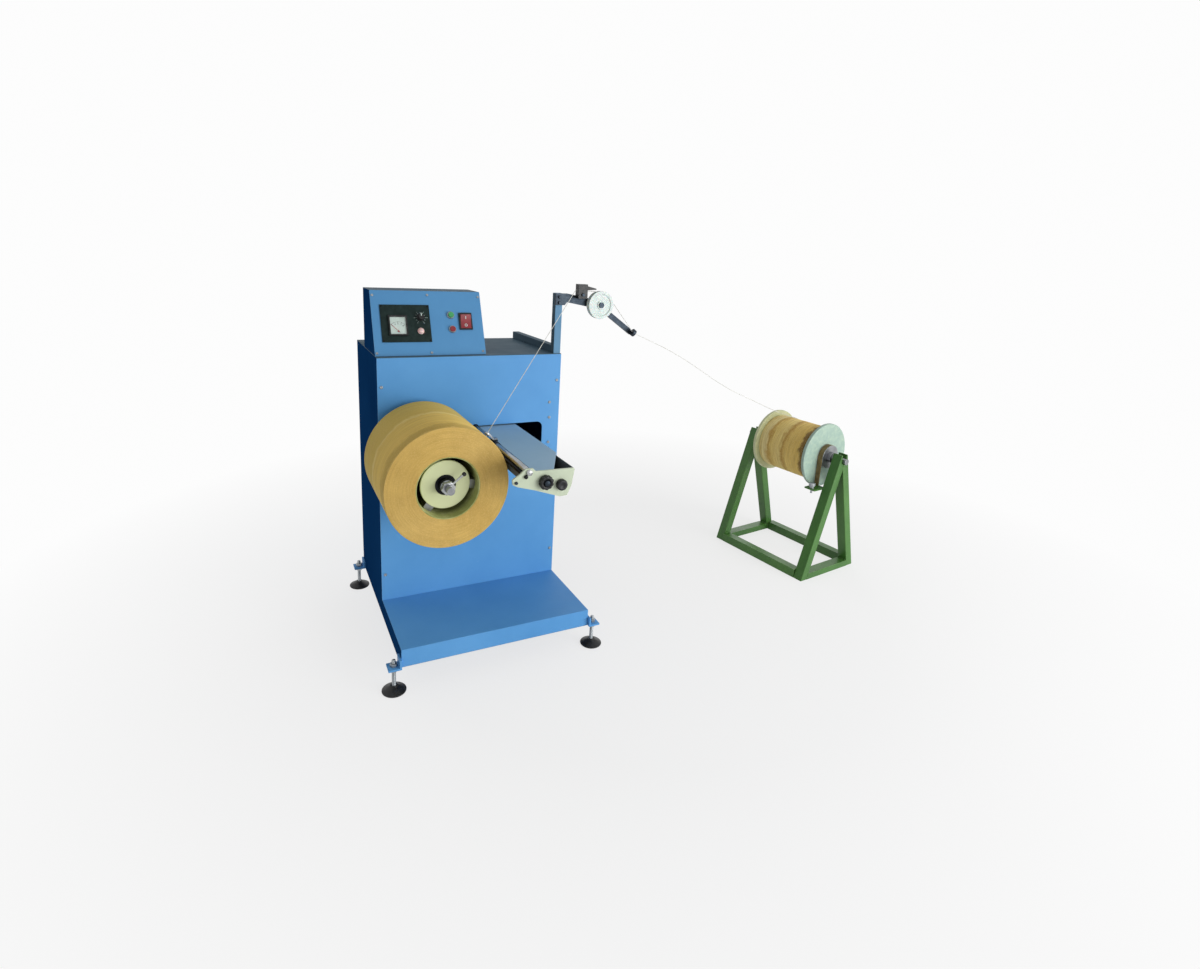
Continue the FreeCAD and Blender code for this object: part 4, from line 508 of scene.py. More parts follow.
def nodeCopy(name, node, width, material):
    # a CAD node with its doubles merged, flat neighbours joined and its edges rounded
    source = frame["nodes"][node].data
    points = np.empty(len(source.vertices) * 3, np.float32)
    source.vertices.foreach_get("co", points)
    corners = np.empty(len(source.loops), np.int32)
    source.loops.foreach_get("vertex_index", corners)
    keys, back = np.unique(np.round(points.reshape(-1, 3), 6), axis=0, return_inverse=True)
    faces = back.reshape(-1)[corners].reshape(-1, 3)
    faces = faces[(faces[:, 0] != faces[:, 1]) & (faces[:, 1] != faces[:, 2]) & (faces[:, 0] != faces[:, 2])]
    piece = makePiece(name, [(keys, faces.tolist(), material, True)], node)
    work = bmesh.new()
    work.from_mesh(piece.data)
    bmesh.ops.dissolve_limit(work, angle_limit=math.radians(0.4), verts=work.verts, edges=work.edges)
    work.to_mesh(piece.data)
    work.free()
    roundEdges(piece, width)


# Control points of the supply wire's route in the drawing, in metres: x and z of the long span
# from the spool to the ring, which lies in one upright plane.
wireSet = dict(
    radius=0.001, sides=12, planeX=0.866, planeY=-0.014, planeSlope=0.1081,
    span=((1.8359, 0.5692), (1.8132, 0.5930), (1.7500, 0.6112), (1.6980, 0.6272), (1.6460, 0.6450),
          (1.5940, 0.6646), (1.5420, 0.6858), (1.4900, 0.7066), (1.4380, 0.7268), (1.3860, 0.7478),
          (1.3340, 0.7714), (1.2820, 0.7978), (1.2300, 0.8260), (1.1780, 0.8546), (1.1260, 0.8820),
          (1.0740, 0.9076), (1.0220, 0.9310), (0.9700, 0.9522), (0.9180, 0.9724)),
    ring=(0.8660, -0.0140, 0.9930), pulleyCorner=(0.7491, -0.0140, 1.1281),
    blockExit=(0.6360, -0.0140, 1.1350), eyelet=(0.2808, -0.1874, 0.7210), coilEnd=(0.2803, -0.1913, 0.6959),
    nearRing=0.012, nearPulley=0.0356, nearBlock=0.0104, straight=0.2, stopShort=0.0132, tailStart=0.012,
    tailCorner=0.013, feedLength=1.9152, tailLength=0.0408)


def meshOf(data):
    # points and faces of the plain mesh that a curve or a text makes
    holder = bpy.data.objects.new("holder", data)
    scene.collection.objects.link(holder)
    bpy.context.view_layer.update()
    made = bpy.data.meshes.new_from_object(holder.evaluated_get(bpy.context.evaluated_depsgraph_get()))
    points = np.array([v.co for v in made.vertices])
    faces = [list(p.vertices) for p in made.polygons]
    bpy.data.objects.remove(holder)
    bpy.data.meshes.remove(made)
    return points, faces


def wireRoute(controls):
    # points read from the route's own NURBS spline, whose control points are the route's
    data = bpy.data.curves.new("route", "CURVE")
    data.dimensions = "3D"
    data.resolution_u = 16
    spline = data.splines.new("NURBS")
    spline.points.add(len(controls) - 1)
    for point, place in zip(spline.points, controls):
        point.co = (*place, 1)
    spline.order_u = 3
    spline.use_endpoint_u = True
    points = meshOf(data)[0]
    keep = np.concatenate([[True], np.linalg.norm(np.diff(points, axis=0), axis=1) > 1e-6])
    return points[keep]


def tubeAlong(path, radius, sides):
    # a circle carried along the path by parallel frames, with its two ends closed by small caps
    steps = np.gradient(path, axis=0)
    steps /= np.linalg.norm(steps, axis=1)[:, None]
    side = np.cross(steps[0], [0.0, 0.0, 1.0])
    frames = []
    for step in steps:
        side = side - step * (side @ step)
        side = side / np.linalg.norm(side)
        frames.append((side, np.cross(step, side)))
    frames = np.array(frames)
    angle = np.linspace(0, math.tau, sides, endpoint=False)[None, :, None]
    ring = np.cos(angle) * frames[:, None, 0] + np.sin(angle) * frames[:, None, 1]
    points = (path[:, None] + radius * ring).reshape(-1, 3)
    faces = gridQuads(len(path), sides).tolist()
    last = len(path) * sides
    faces.append(list(range(sides))[::-1])
    faces.append(list(range(last - sides, last)))
    return points, faces


def towards(start, end, distance):
    start, end = np.array(start), np.array(end)
    return start + (end - start) / np.linalg.norm(end - start) * distance


def makeWires(s):
    # supply wire from the spool over the pulley to the eyelet, and its last piece down to the coil
    span = [np.array([x, s["planeY"] + s["planeSlope"] * (x - s["planeX"]), z]) for x, z in s["span"]]
    ring, corner, block, eyelet = (np.array(s[k]) for k in ("ring", "pulleyCorner", "blockExit", "eyelet"))
    route = span + [towards(ring, span[-1], s["nearRing"]), ring, towards(ring, corner, s["nearRing"]),
                    towards(corner, ring, s["nearPulley"]), corner, towards(corner, block, s["nearPulley"]),
                    towards(block, corner, s["nearBlock"]), block, towards(block, eyelet, s["nearBlock"]),
                    towards(block, eyelet, s["straight"]), towards(eyelet, block, s["straight"]),
                    towards(eyelet, block, s["stopShort"])]
    feedPath = wireRoute([drawingZero + p for p in route])
    points, faces = tubeAlong(feedPath, s["radius"], s["sides"])
    feed = makePiece("feedWire", [(points, faces, "feed_wire", True)], "supply_wire", body="blended")
    tail = [towards(eyelet, block, s["tailStart"]), towards(eyelet, block, -s["tailCorner"]),
            np.array(s["coilEnd"])]
    tailPath = wireRoute([drawingZero + p for p in tail])
    points, faces = tubeAlong(tailPath, s["radius"], s["sides"])
    end = makePiece("coilTail", [(points, faces, "feed_wire", True)], "coil_wire")
    return feed, feedPath, end, tailPath


feedWire, feedPath, coilTail, tailPath = makeWires(wireSet)
print("wires laid")


# Surfaces worked out as functions of two parameters.
def unit(vector):
    vector = np.asarray(vector, float)
    return vector / np.linalg.norm(vector)


def revolve(profile, place, axis, sides, reach=None, side=None):
    # point(row, angle) = place + distance(row) axis + radius(row, angle) (cos angle, sin angle); the
    # radius is the profile's own, or the reach table's where it changes round the axis
    profile = np.asarray(profile, float)
    axis = unit(axis)
    if side is None:
        side = np.cross(axis, (0.0, 0.0, 1.0) if abs(axis[2]) < 0.9 else (1.0, 0.0, 0.0))
    side = unit(side)
    angle = np.linspace(0, math.tau, sides, endpoint=False)
    ring = np.cos(angle)[:, None] * side + np.sin(angle)[:, None] * np.cross(axis, side)
    reach = profile[:, :1] * np.ones(sides) if reach is None else reach
    points = np.asarray(place, float) + profile[:, 1, None, None] * axis + reach[..., None] * ring
    return drawingZero + points / 1000


def turnedPart(profile, place, axis, sides, material, reach=None, closed=False, smooth=True):
    return gridPart(revolve(profile, place, axis, sides, reach), material, closed, smooth)


def hexReach(across, sides):
    # distance from the middle to a hexagon's side, for each of the angles round it
    angle = np.linspace(0, math.tau, sides, endpoint=False)
    return across / 2 / np.cos((angle + math.pi / 6) % (math.pi / 3) - math.pi / 6)


def hexNut(place, axis, across, height, bore, material, side=None, sides=48):
    # hexagon whose corners are turned down by a cone of 30 degrees, with its bore chamfered
    chamfer, facing = 0.7, across * 0.49
    corner = hexReach(across, sides)
    drop = np.maximum(corner - facing, 0) * math.tan(math.radians(30))
    zero = np.zeros(sides)
    hole, mouth, flat = zero + bore, zero + bore + chamfer, zero + facing
    reach = np.stack([hole, mouth, flat, corner, corner, flat, mouth, hole])
    rise = np.stack([zero + chamfer, zero, zero, drop, height - drop, zero + height, zero + height,
                     zero + height - chamfer])
    base = revolve(np.zeros((8, 2)), place, axis, sides, reach, side)
    return gridPart(base + rise[..., None] * unit(axis) / 1000, material, True, False)


def socketScrew(place, axis, radius, height, shank, length, material, sides=36):
    # button head: a hexagon hole and a dome, in rows of (share of radius, share of height), where
    # None is the hole's own radius
    socket = hexReach(radius * 0.95, sides)
    rows = ((0.0, 0.35), (None, 0.35), (None, 0.96), (0.72, 0.92), (0.9, 0.68), (1.0, 0.25), (1.0, 0.0))
    reach = [socket if r is None else np.full(sides, r * radius) for r, h in rows]
    reach += [np.full(sides, shank), np.full(sides, shank), np.zeros(sides)]
    distance = [h * height for r, h in rows] + [0.0, -length, -length]
    profile = np.stack([np.zeros(len(distance)), distance], -1)
    return turnedPart(profile, place, axis, sides, material, np.array(reach))


def threadedStem(place, low, high, radius, pitch, depth, material):
    # radius(z, angle) = radius - depth |2 fraction(z / pitch - angle / turn) - 1|, faded out at both ends
    sides, perTurn, fade = 20, 6, 1.5
    z = np.linspace(low, high, int((high - low) / pitch * perTurn))
    angle = np.linspace(0, 1, sides, endpoint=False)
    phase = (z[:, None] / pitch - angle[None, :]) % 1
    cutIn = np.abs(2 * phase - 1)
    end = np.clip(np.minimum(z - low, high - z) / fade, 0, 1)[:, None]
    reach = radius - depth * (cutIn * end + (1 - end))
    profile = np.concatenate([[(0, low)], np.stack([z * 0, z], -1), [(0, high)]])
    reach = np.concatenate([np.zeros((1, sides)), reach, np.zeros((1, sides))])
    return turnedPart(profile, place, (0, 0, 1), sides, material, reach)


def flutedKnob(profile, place, axis, flutes, depth, closed=False):
    # profile rows are (radius, distance, share of the flute's depth); reach(row, angle) = radius
    # - depth share (0.5 + 0.5 cos(flutes angle))^3
    sides = 96
    rows = np.asarray(profile, float)
    angle = np.linspace(0, math.tau, sides, endpoint=False)
    flute = (0.5 + 0.5 * np.cos(flutes * angle)) ** 3
    reach = rows[:, :1] - depth * rows[:, 2:] * flute
    return turnedPart(rows[:, :2], place, axis, sides, "black_plastic", reach, closed)


def barPart(outline, low, high, place, material):
    # an outline of (a, b) points pushed from low to high along c; place turns (a, b, c) to metres
    outline = np.asarray(outline, float)
    middle = np.repeat(outline.mean(0)[None], len(outline), 0)
    rows = [np.column_stack([ring, np.full(len(outline), h)])
            for ring, h in ((middle, low), (outline, low), (outline, high), (middle, high))]
    return gridPart(place(np.array(rows)), material, smooth=False)


def rectangle(left, right, bottom, top):
    return [(left, bottom), (right, bottom), (right, top), (left, top)]


# The control box's sloping face: across, up the face, and out of it.
faceSet = dict(front=23.5, bottom=924.0, lean=81.0, height=189.5)
faceTurn = math.atan2(faceSet["height"], faceSet["lean"])
faceOut = np.array([0.0, -math.sin(faceTurn), math.cos(faceTurn)])
faceUp = np.array([0.0, math.cos(faceTurn), math.sin(faceTurn)])


def faceMillimetres(points):
    points = np.asarray(points, float)
    start = np.array([0.0, faceSet["front"], faceSet["bottom"]])
    return start + points[..., :1] * (1.0, 0.0, 0.0) + points[..., 1:2] * faceUp + points[..., 2:] * faceOut


def onFace(points):
    return drawingZero + faceMillimetres(points) / 1000


# The stand's own frame: across, along the spool shaft, and up.
standSet = dict(x=1757.2, y=34.2, turn=7.2, shaftHeight=490.0)


def standMillimetres(points):
    points = np.asarray(points, float)
    c, s = math.cos(math.radians(standSet["turn"])), math.sin(math.radians(standSet["turn"]))
    x, y, z = points[..., 0], points[..., 1], points[..., 2]
    return np.stack([standSet["x"] + x * c - y * s, standSet["y"] + x * s + y * c, z], -1)


# Wound wire: the coil on the mandrel and the supply on its spool.
windings = {
    "wireCoil": dict(
        node="wire_coil", material="wound_wire", middle=(124.0, 0.0, 621.0), axis=(0, 1, 0), sides=120,
        shape=((-340.0, 170.6), (-337.0, 172.0), (-30.0, 172.0), (-27.0, 170.4)), bore=88.6, pitch=2.2,
        uneven=0.5, dish=1.0, endLayers=37, seed=3),
    "supplyWinding": dict(
        node="supply_winding", material="spool_wire",
        middle=standMillimetres((0.0, 0.0, standSet["shaftHeight"])),
        axis=standMillimetres((0, 1, 0)) - standMillimetres((0, 0, 0)), sides=96,
        shape=((-132.0, 109.0), (-112.0, 115.0), (94.0, 115.0), (106.0, 111.0)), bore=62.3, pitch=2.05,
        uneven=1.1, dish=0.2, endLayers=6, seed=8),
}
laySet = dict(phases=(0.0, 0.2, 0.5, 0.8), stepShare=0.7, frontIn=1.2, rearIn=1.0, waves=5, wander=0.16)


def drift(random, turns, angle):
    # slow waves round the axis, whose phases wander a little from each turn to the next
    total = np.zeros((turns, len(angle)))
    for wave in range(1, laySet["waves"] + 1):
        phase = random.uniform(0, math.tau) + np.cumsum(random.normal(0, laySet["wander"], turns))
        total += np.sin(wave * angle[None, :] + phase[:, None]) / wave
    return total / 2


def woundPart(s):
    # Side: turn k lies at low + (k + p) pitch with radius R - (wire / 2)(1 - bead(p)) less its own
    # step and drift, where the bead is a half circle over the turn. The front end does the same from
    # layer to layer.
    random = np.random.default_rng(s["seed"])
    angle = np.linspace(0, math.tau, s["sides"], endpoint=False)
    phase = np.array(laySet["phases"])
    bead = np.sqrt(1 - (2 * phase - 1) ** 2)
    places, radii = np.array(s["shape"]).T
    low, high = places[0], places[-1]
    turns = int(round((high - low) / s["pitch"]))
    groove = np.tile(s["pitch"] / 2 * (1 - bead), turns)[:, None]
    k = np.repeat(np.arange(turns), len(phase))
    distance = low + (k + np.tile(phase, turns)) * (high - low) / turns
    step = random.uniform(0, 1, turns)[k][:, None]
    sink = s["uneven"] * (laySet["stepShare"] * step + 0.5 + 0.5 * drift(random, turns, angle)[k])
    side = np.interp(distance, places, radii)[:, None] - groove - np.maximum(sink, 0)
    layers = s["endLayers"]
    j = np.repeat(np.arange(layers), len(phase))
    rim = side[0].mean() - laySet["frontIn"]
    reach = rim - (j + np.tile(phase, layers)) / layers * (rim - s["bore"])
    step = random.uniform(0, 0.5, layers)[j][:, None]
    inward = s["dish"] * (step + 0.5 + 0.5 * drift(random, layers, angle)[j])
    groove = np.tile(s["pitch"] / 2 * (1 - bead), layers)[:, None]
    face = low + groove * min(1.0, s["dish"]) + np.maximum(inward, 0)
    rings = [(reach[:, None] * np.ones(len(angle)))[::-1], side,
             np.outer([radii[-1] - laySet["rearIn"], s["bore"]], np.ones(len(angle)))]
    stations = [face[::-1], distance[:, None] * np.ones(len(angle)), np.full((2, len(angle)), high)]
    stations, rings = np.concatenate(stations), np.concatenate(rings)
    flat = revolve(np.zeros((len(rings), 2)), s["middle"], s["axis"], s["sides"], rings)
    return gridPart(flat + stations[..., None] * unit(s["axis"]) / 1000, s["material"], True)


for pieceName, winding in windings.items():
    makePiece(pieceName, [woundPart(winding)], winding["node"])
print("wire wound:", len(windings))

# Feet: a threaded stem with a nut below and a nut above its lug.
footSet = dict(
    places=((-20.0, -286.0), (620.0, -286.0), (-20.0, 369.0), (620.0, 369.0)), low=14.0, high=101.0,
    radius=5.95, pitch=1.75, depth=0.95, nutAcross=19.0, nutHeight=10.0, nutsAt=(65.0, 81.0))


def makeFeet(s):
    parts, stem = [], [s[key] for key in ("low", "high", "radius", "pitch", "depth")]
    for x, y in s["places"]:
        parts.append(threadedStem((x, y, 0), *stem, "zinc_steel"))
        for z in s["nutsAt"]:
            nut = hexNut((x, y, z), (0, 0, 1), s["nutAcross"], s["nutHeight"], s["radius"], "zinc_steel")
            parts.append(nut)
    makePiece("footStuds", parts, "foot_studs")


makeFeet(footSet)

# Screws of the panels and of the sloping face; sizes are radius, height, shank radius and length.
screwSet = dict(
    front=((12, 834), (588, 834), (12, 220), (588, 220), (564, 759), (565, 706), (565, 618.5)),
    rear=((12, 834), (588, 834), (12, 527), (588, 527), (12, 220), (588, 220)), coverAt=386.0,
    face=((7, 190), (174, 193), (338, 189), (6, 9), (171, 8), (336, 10)),
    sizes=dict(front=(5.0, 3.0, 2.4, 5.0), rear=(5.0, 3.0, 2.4, 2.0), face=(4.0, 2.4, 1.9, 6.0)))


def makeScrews(s):
    places = [((x, 0, z), (0, -1, 0), "front") for x, z in s["front"]]
    places += [((x, s["coverAt"], z), (0, 1, 0), "rear") for x, z in s["rear"]]
    places += [(faceMillimetres((u, v, 0.0)), faceOut, "face") for u, v in s["face"]]
    makePiece("panelScrews", [socketScrew(place, axis, *s["sizes"][kind], "zinc_steel")
                              for place, axis, kind in places], "panel_screws")


makeScrews(screwSet)

# The traverse: two polished bars and the black trip rod, and the screw with its crossed threads.
traverseSet = dict(
    barFront=-469.0, barRear=84.0, frontBar=(304.5, 688.5, 8.0), innerBar=(378.0, 641.0, 8.0),
    innerFront=-460.0, tripRod=(295.0, 678.0, 5.0), screwAt=(351.0, 658.5), screwRadius=11.0,
    threadFront=-456.7, threadRear=77.7, journal=7.9, journalFront=-482.0, journalRear=112.0, lead=34.0,
    groove=2.4, grooveHalf=3.2, sides=72, step=0.9, wheelAt=100.0, wheelRadius=24.0, wheelHalf=8.0, rim=3.0,
    bore=8.0, toothDepth=1.8, teeth=24, flange=1.2, flangeFoot=1.6)


def plainRod(x, z, radius, front, rear, material):
    # rod along Y with both ends chamfered by 1 mm
    profile = ((0, front), (radius - 1, front), (radius, front + 1), (radius, rear - 1), (radius - 1, rear),
               (0, rear))
    return turnedPart(profile, (x, 0, z), (0, 1, 0), 40, material)


def crossedThread(s):
    # radius(y, angle) = R - depth f, where f is a rounded groove about either of two helices,
    # y / lead - angle and y / lead + angle, so that the two cross twice in each turn
    y = np.arange(s["threadFront"], s["threadRear"], s["step"])
    turn = np.linspace(0, 1, s["sides"], endpoint=False)
    cut = 0
    for way in (-1, 1):
        apart = (y[:, None] / s["lead"] + way * turn[None, :] + 0.5) % 1 - 0.5
        cut = np.maximum(cut, np.clip(1 - (np.abs(apart) * s["lead"] / s["grooveHalf"]) ** 4, 0, 1))
    end = np.zeros((1, s["sides"]))
    reach = np.concatenate([end, s["screwRadius"] - s["groove"] * cut, end])
    stations = np.concatenate([y[:1], y, y[-1:]])
    x, z = s["screwAt"]
    profile = np.stack([stations * 0, stations], -1)
    return turnedPart(profile, (x, 0, z), (0, 1, 0), s["sides"], "bright_steel", reach)


def toothedWheel(s):
    # rim radius less the tooth depth in every second half tooth, between two plain flanges
    bore, half, wheel, outer = s["bore"], s["wheelHalf"], s["wheelRadius"], s["wheelRadius"] + s["rim"]
    flange, foot = half - s["flange"], half - s["flangeFoot"]
    rows = np.array(((bore, -half, 0), (outer, -half, 0), (outer, -flange, 0), (wheel, -foot, 1),
                     (wheel, foot, 1), (outer, flange, 0), (outer, half, 0), (bore, half, 0)))
    sides = 4 * s["teeth"]
    reach = rows[:, :1] - s["toothDepth"] * rows[:, 2:] * ((np.arange(sides) % 4) // 2)
    x, z = s["screwAt"]
    place = (x, s["wheelAt"], z)
    return turnedPart(rows[:, :2], place, (0, 1, 0), sides, "bare_aluminium", reach, True, False)


def makeTraverse(s):
    rods = [plainRod(*s["frontBar"], s["barFront"], s["barRear"], "bright_steel"),
            plainRod(*s["innerBar"], s["innerFront"], s["barRear"], "bright_steel"),
            plainRod(*s["tripRod"], s["barFront"], s["barRear"], "black_steel")]
    makePiece("guideBars", rods, "guide_bars")
    x, z = s["screwAt"]
    parts = [crossedThread(s),
             plainRod(x, z, s["journal"], s["journalFront"], s["threadFront"] + 1, "dark_steel"),
             plainRod(x, z, s["journal"], s["threadRear"] - 1, s["journalRear"], "bright_steel"),
             toothedWheel(s)]
    makePiece("traverseScrew", parts, "traverse_screw")


makeTraverse(traverseSet)

# The spindle's dark collar, its chamfered nut and the lever that turns the nut.
nutSet = dict(
    middle=(124.0, 0.0, 621.0), front=-342.0, length=18.0, across=34.0, bore=11.1, washer=19.0,
    collarFront=-324.0, collarStep=-308.0, collarRear=-306.0, collar=21.0, collarFlange=29.0, leverAngle=38.5,
    leverFrom=12.0, leverTo=56.0, leverAt=-334.0, lever=4.0, waist=2.9, ball=6.0, sides=64, nutSides=72,
    leverSides=28, collarCut=2.0, washerThick=3.0, washerCut=0.6)


def makeSpindleNut(s):
    turn = math.radians(s["leverAngle"])
    out = np.array([math.cos(turn), 0.0, math.sin(turn)])
    x, y, z = s["middle"]
    bore, front, rear, step = s["bore"], s["collarFront"], s["collarRear"], s["collarStep"]
    collar, flange, cut = s["collar"], s["collarFlange"], s["collarCut"]
    rows = ((bore, front), (collar - cut, front), (collar, front + cut), (collar, step), (flange, step),
            (flange, rear), (bore, rear))
    parts = [turnedPart(rows, s["middle"], (0, 1, 0), s["sides"], "black_steel", None, True, False)]
    nut = (x, s["front"], z)
    parts.append(hexNut(nut, (0, 1, 0), s["across"], s["length"], bore, "bright_steel", out, s["nutSides"]))
    washer, cut, face = s["washer"], s["washerCut"], front - s["washerThick"]
    rows = ((bore, face), (washer - cut, face), (washer, face + cut), (washer, front), (bore, front))
    parts.append(turnedPart(rows, s["middle"], (0, 1, 0), s["sides"], "zinc_steel", None, True, False))
    start = (x, s["leverAt"], z)
    low, high = s["leverFrom"], s["leverTo"]
    # lever radius(t) = waist + (lever - waist) (2 t - 1)^2 between the nut and the ball
    t = np.linspace(0, 1, 15)
    radius = s["waist"] + (s["lever"] - s["waist"]) * (2 * t - 1) ** 2
    rows = np.concatenate([[(0, low)], np.stack([radius, low + t * (high - low)], -1), [(0, high)]])
    parts.append(turnedPart(rows, start, out, s["leverSides"], "bright_steel"))
    angle = np.linspace(0, math.pi, 17)
    rows = np.stack([s["ball"] * np.sin(angle), high - s["ball"] * np.cos(angle)], -1)
    parts.append(turnedPart(rows, start, out, s["leverSides"], "black_plastic"))
    makePiece("spindleNut", parts, "spindle_nut")


makeSpindleNut(nutSet)

# Black knobs: rows of (radius, distance from the seat, share of the flute's depth).
knobSet = dict(
    hand=dict(
        piece="screwHandKnob", node="screw_hand_knob", place=(351.0, -463.3, 658.5), flutes=10, depth=2.4,
        closed=True,
        rows=((8.0, 0, 0), (18.0, 0, 0), (20.0, 1.5, 1), (20.0, 12.5, 1), (18.6, 15.0, 1), (16.8, 16.0, 0),
              (11.5, 16.0, 0), (10.6, 13.4, 0), (8.0, 13.0, 0))),
    width=dict(
        piece="widthKnob", node="width_knob", place=(397.5, -463.3, 646.5), flutes=24, depth=0.9,
        closed=False,
        rows=((0, -120.0, 0), (4.4, -120.0, 0), (5.0, -119.0, 0), (5.0, 0, 0), (14.5, 0, 0), (15.5, 1.0, 1),
              (15.5, 10.5, 1), (14.6, 12.6, 1), (12.8, 14.0, 0), (7.0, 14.0, 0), (6.2, 13.0, 0),
              (0, 12.6, 0))),
    speed=dict(
        at=(146.0, 119.0), flutes=20, depth=0.7, mark=(1.0, 2.0, 10.8), markRise=(6.5, 17.2),
        rows=((0, -8.0, 0), (3.0, -8.0, 0), (3.0, 3.3, 0), (11.0, 3.3, 0), (11.5, 3.8, 0), (11.5, 6.0, 0),
              (9.9, 7.0, 0.3), (9.4, 7.6, 1), (9.0, 16.0, 1), (7.9, 17.0, 0), (6.4, 17.0, 0), (5.6, 16.6, 0),
              (0, 16.6, 0))))


def makeKnobs(s):
    for k in (s["hand"], s["width"]):
        knob = flutedKnob(k["rows"], k["place"], (0, -1, 0), k["flutes"], k["depth"], k["closed"])
        makePiece(k["piece"], [knob], k["node"])
    speed = s["speed"]
    u, v = speed["at"]
    knob = flutedKnob(speed["rows"], faceMillimetres((u, v, 0.0)), faceOut, speed["flutes"], speed["depth"])
    half, low, high = speed["mark"]
    outline = rectangle(u - half, u + half, v + low, v + high)
    line = barPart(outline, *speed["markRise"], onFace, "white_plastic")
    makePiece("speedKnob", [knob, line], "speed_knob")


makeKnobs(knobSet)

# Instrument plate's own details: the meter's scale card, dial marks round the speed knob, corner screws.
meterSet = dict(
    pivot=(75.0, 76.0), card=(51.2, 98.8, 66.2, 120.8), cardLow=2.1, cardHigh=2.7, markHigh=2.85, swing=45.0,
    inner=28.4, outer=31.0, ticks=20, majorEvery=5, tickHalf=0.25, majorHalf=0.45, numberReach=23.4,
    numberSize=4.6, numbers=("0", "25", "50", "75", "100"), majorMore=1.6, numberSpread=0.94, sunk=0.1)
dialSet = dict(
    middle=(146.0, 119.0), ticks=11, sweep=300.0, inner=13.4, outer=16.4, half=0.32, low=3.0, high=3.15,
    numberReach=19.6, numberSize=3.6, sunk=0.1)
plateScrews = dict(corners=((30.0, 47.0), (170.0, 47.0), (30.0, 155.0), (170.0, 155.0)),
                   seat=3.0, size=(2.6, 1.6, 1.2, 3.0), sides=24)


def outAt(middle, turn, reach):
    # point at a reach from the middle, at a clockwise angle from straight up
    return middle[0] + reach * math.sin(turn), middle[1] + reach * math.cos(turn)


def radialTick(middle, turn, inner, outer, half, low, high, material):
    # thin bar from the inner to the outer radius
    along = np.array([math.sin(turn), math.cos(turn)])
    across = np.array([along[1], -along[0]]) * half
    middle = np.array(middle)
    corners = [middle + along * inner - across, middle + along * outer - across,
               middle + along * outer + across, middle + along * inner + across]
    return barPart(corners, low, high, onFace, material)


def numberPart(text, middle, size, low, high, material):
    # a plain number as a thin mesh, centred on its place on the face
    data = bpy.data.curves.new("number", "FONT")
    data.body = text
    data.size = size
    data.align_x = "CENTER"
    data.align_y = "CENTER"
    data.extrude = (high - low) / 2
    data.resolution_u = 4
    points, faces = meshOf(data)
    return onFace(points + (middle[0], middle[1], (low + high) / 2)), faces, material, False


def makeMeterScale(s):
    parts = [barPart(rectangle(*s["card"]), s["cardLow"], s["cardHigh"], onFace, "card")]
    low, high = s["cardHigh"] - s["sunk"], s["markHigh"]
    swing = math.radians(s["swing"])
    for k in range(s["ticks"] + 1):
        turn = -swing + 2 * swing * k / s["ticks"]
        inner, half = s["inner"], s["tickHalf"]
        if k % s["majorEvery"] == 0:
            inner, half = s["inner"] - s["majorMore"], s["majorHalf"]
        parts.append(radialTick(s["pivot"], turn, inner, s["outer"], half, low, high, "black_plastic"))
    for k, text in enumerate(s["numbers"]):
        turn = (-swing + 2 * swing * k / (len(s["numbers"]) - 1)) * s["numberSpread"]
        place = outAt(s["pivot"], turn, s["numberReach"])
        parts.append(numberPart(text, place, s["numberSize"], low, high, "black_plastic"))
    makePiece("meterScale", parts, "meter_case_scale", "root")


def makeDialMarks(s, screws):
    parts, low, high = [], s["low"] - s["sunk"], s["high"]
    for k in range(s["ticks"]):
        turn = math.radians(-s["sweep"] / 2 + s["sweep"] * k / (s["ticks"] - 1))
        tick = radialTick(s["middle"], turn, s["inner"], s["outer"], s["half"], low, high, "white_plastic")
        parts.append(tick)
        if k % 2 == 0:
            place = outAt(s["middle"], turn, s["numberReach"])
            parts.append(numberPart(str(k), place, s["numberSize"], low, high, "white_plastic"))
    for u, v in screws["corners"]:
        place = faceMillimetres((u, v, screws["seat"]))
        parts.append(socketScrew(place, faceOut, *screws["size"], "black_steel", screws["sides"]))
    makePiece("dialMarks", parts, "dial_marks", "root")


makeMeterScale(meterSet)
makeDialMarks(dialSet, plateScrews)

# Rocker: a dished cap over a tapering stem, tipped to its OFF side, with a bar and a ring for ON and OFF.
rockerSet = dict(
    left=271.8, right=305.2, middle=107.5, half=21.7, edge=8.0, dip=5.4, steps=16, stem=11.0, foot=-16.0,
    tilt=9.0, barHalf=(4.5, 0.9), ringOut=4.6, ringIn=3.0, markAt=12.0, markRise=0.25, markSunk=-0.3,
    lip=2.0, rounding=0.8)


def tipped(points):
    # turns (along, out, across) about the rocker's line and sets it on the face
    points = np.asarray(points, float)
    c, s = math.cos(math.radians(rockerSet["tilt"])), math.sin(math.radians(rockerSet["tilt"]))
    v, w, u = points[..., 0], points[..., 1], points[..., 2]
    return onFace(np.stack([u, rockerSet["middle"] + v * c - w * s, v * s + w * c], -1))


def capHeight(v):
    # height(v) = dip + (edge - dip) (v / half)^2
    return rockerSet["dip"] + (rockerSet["edge"] - rockerSet["dip"]) * (v / rockerSet["half"]) ** 2


def onCap(points):
    # (across, along, out of the cap) to metres
    points = np.asarray(points, float)
    u, v, lift = points[..., 0], points[..., 1], points[..., 2]
    return tipped(np.stack([v, capHeight(v) + lift, u + (rockerSet["left"] + rockerSet["right"]) / 2], -1))


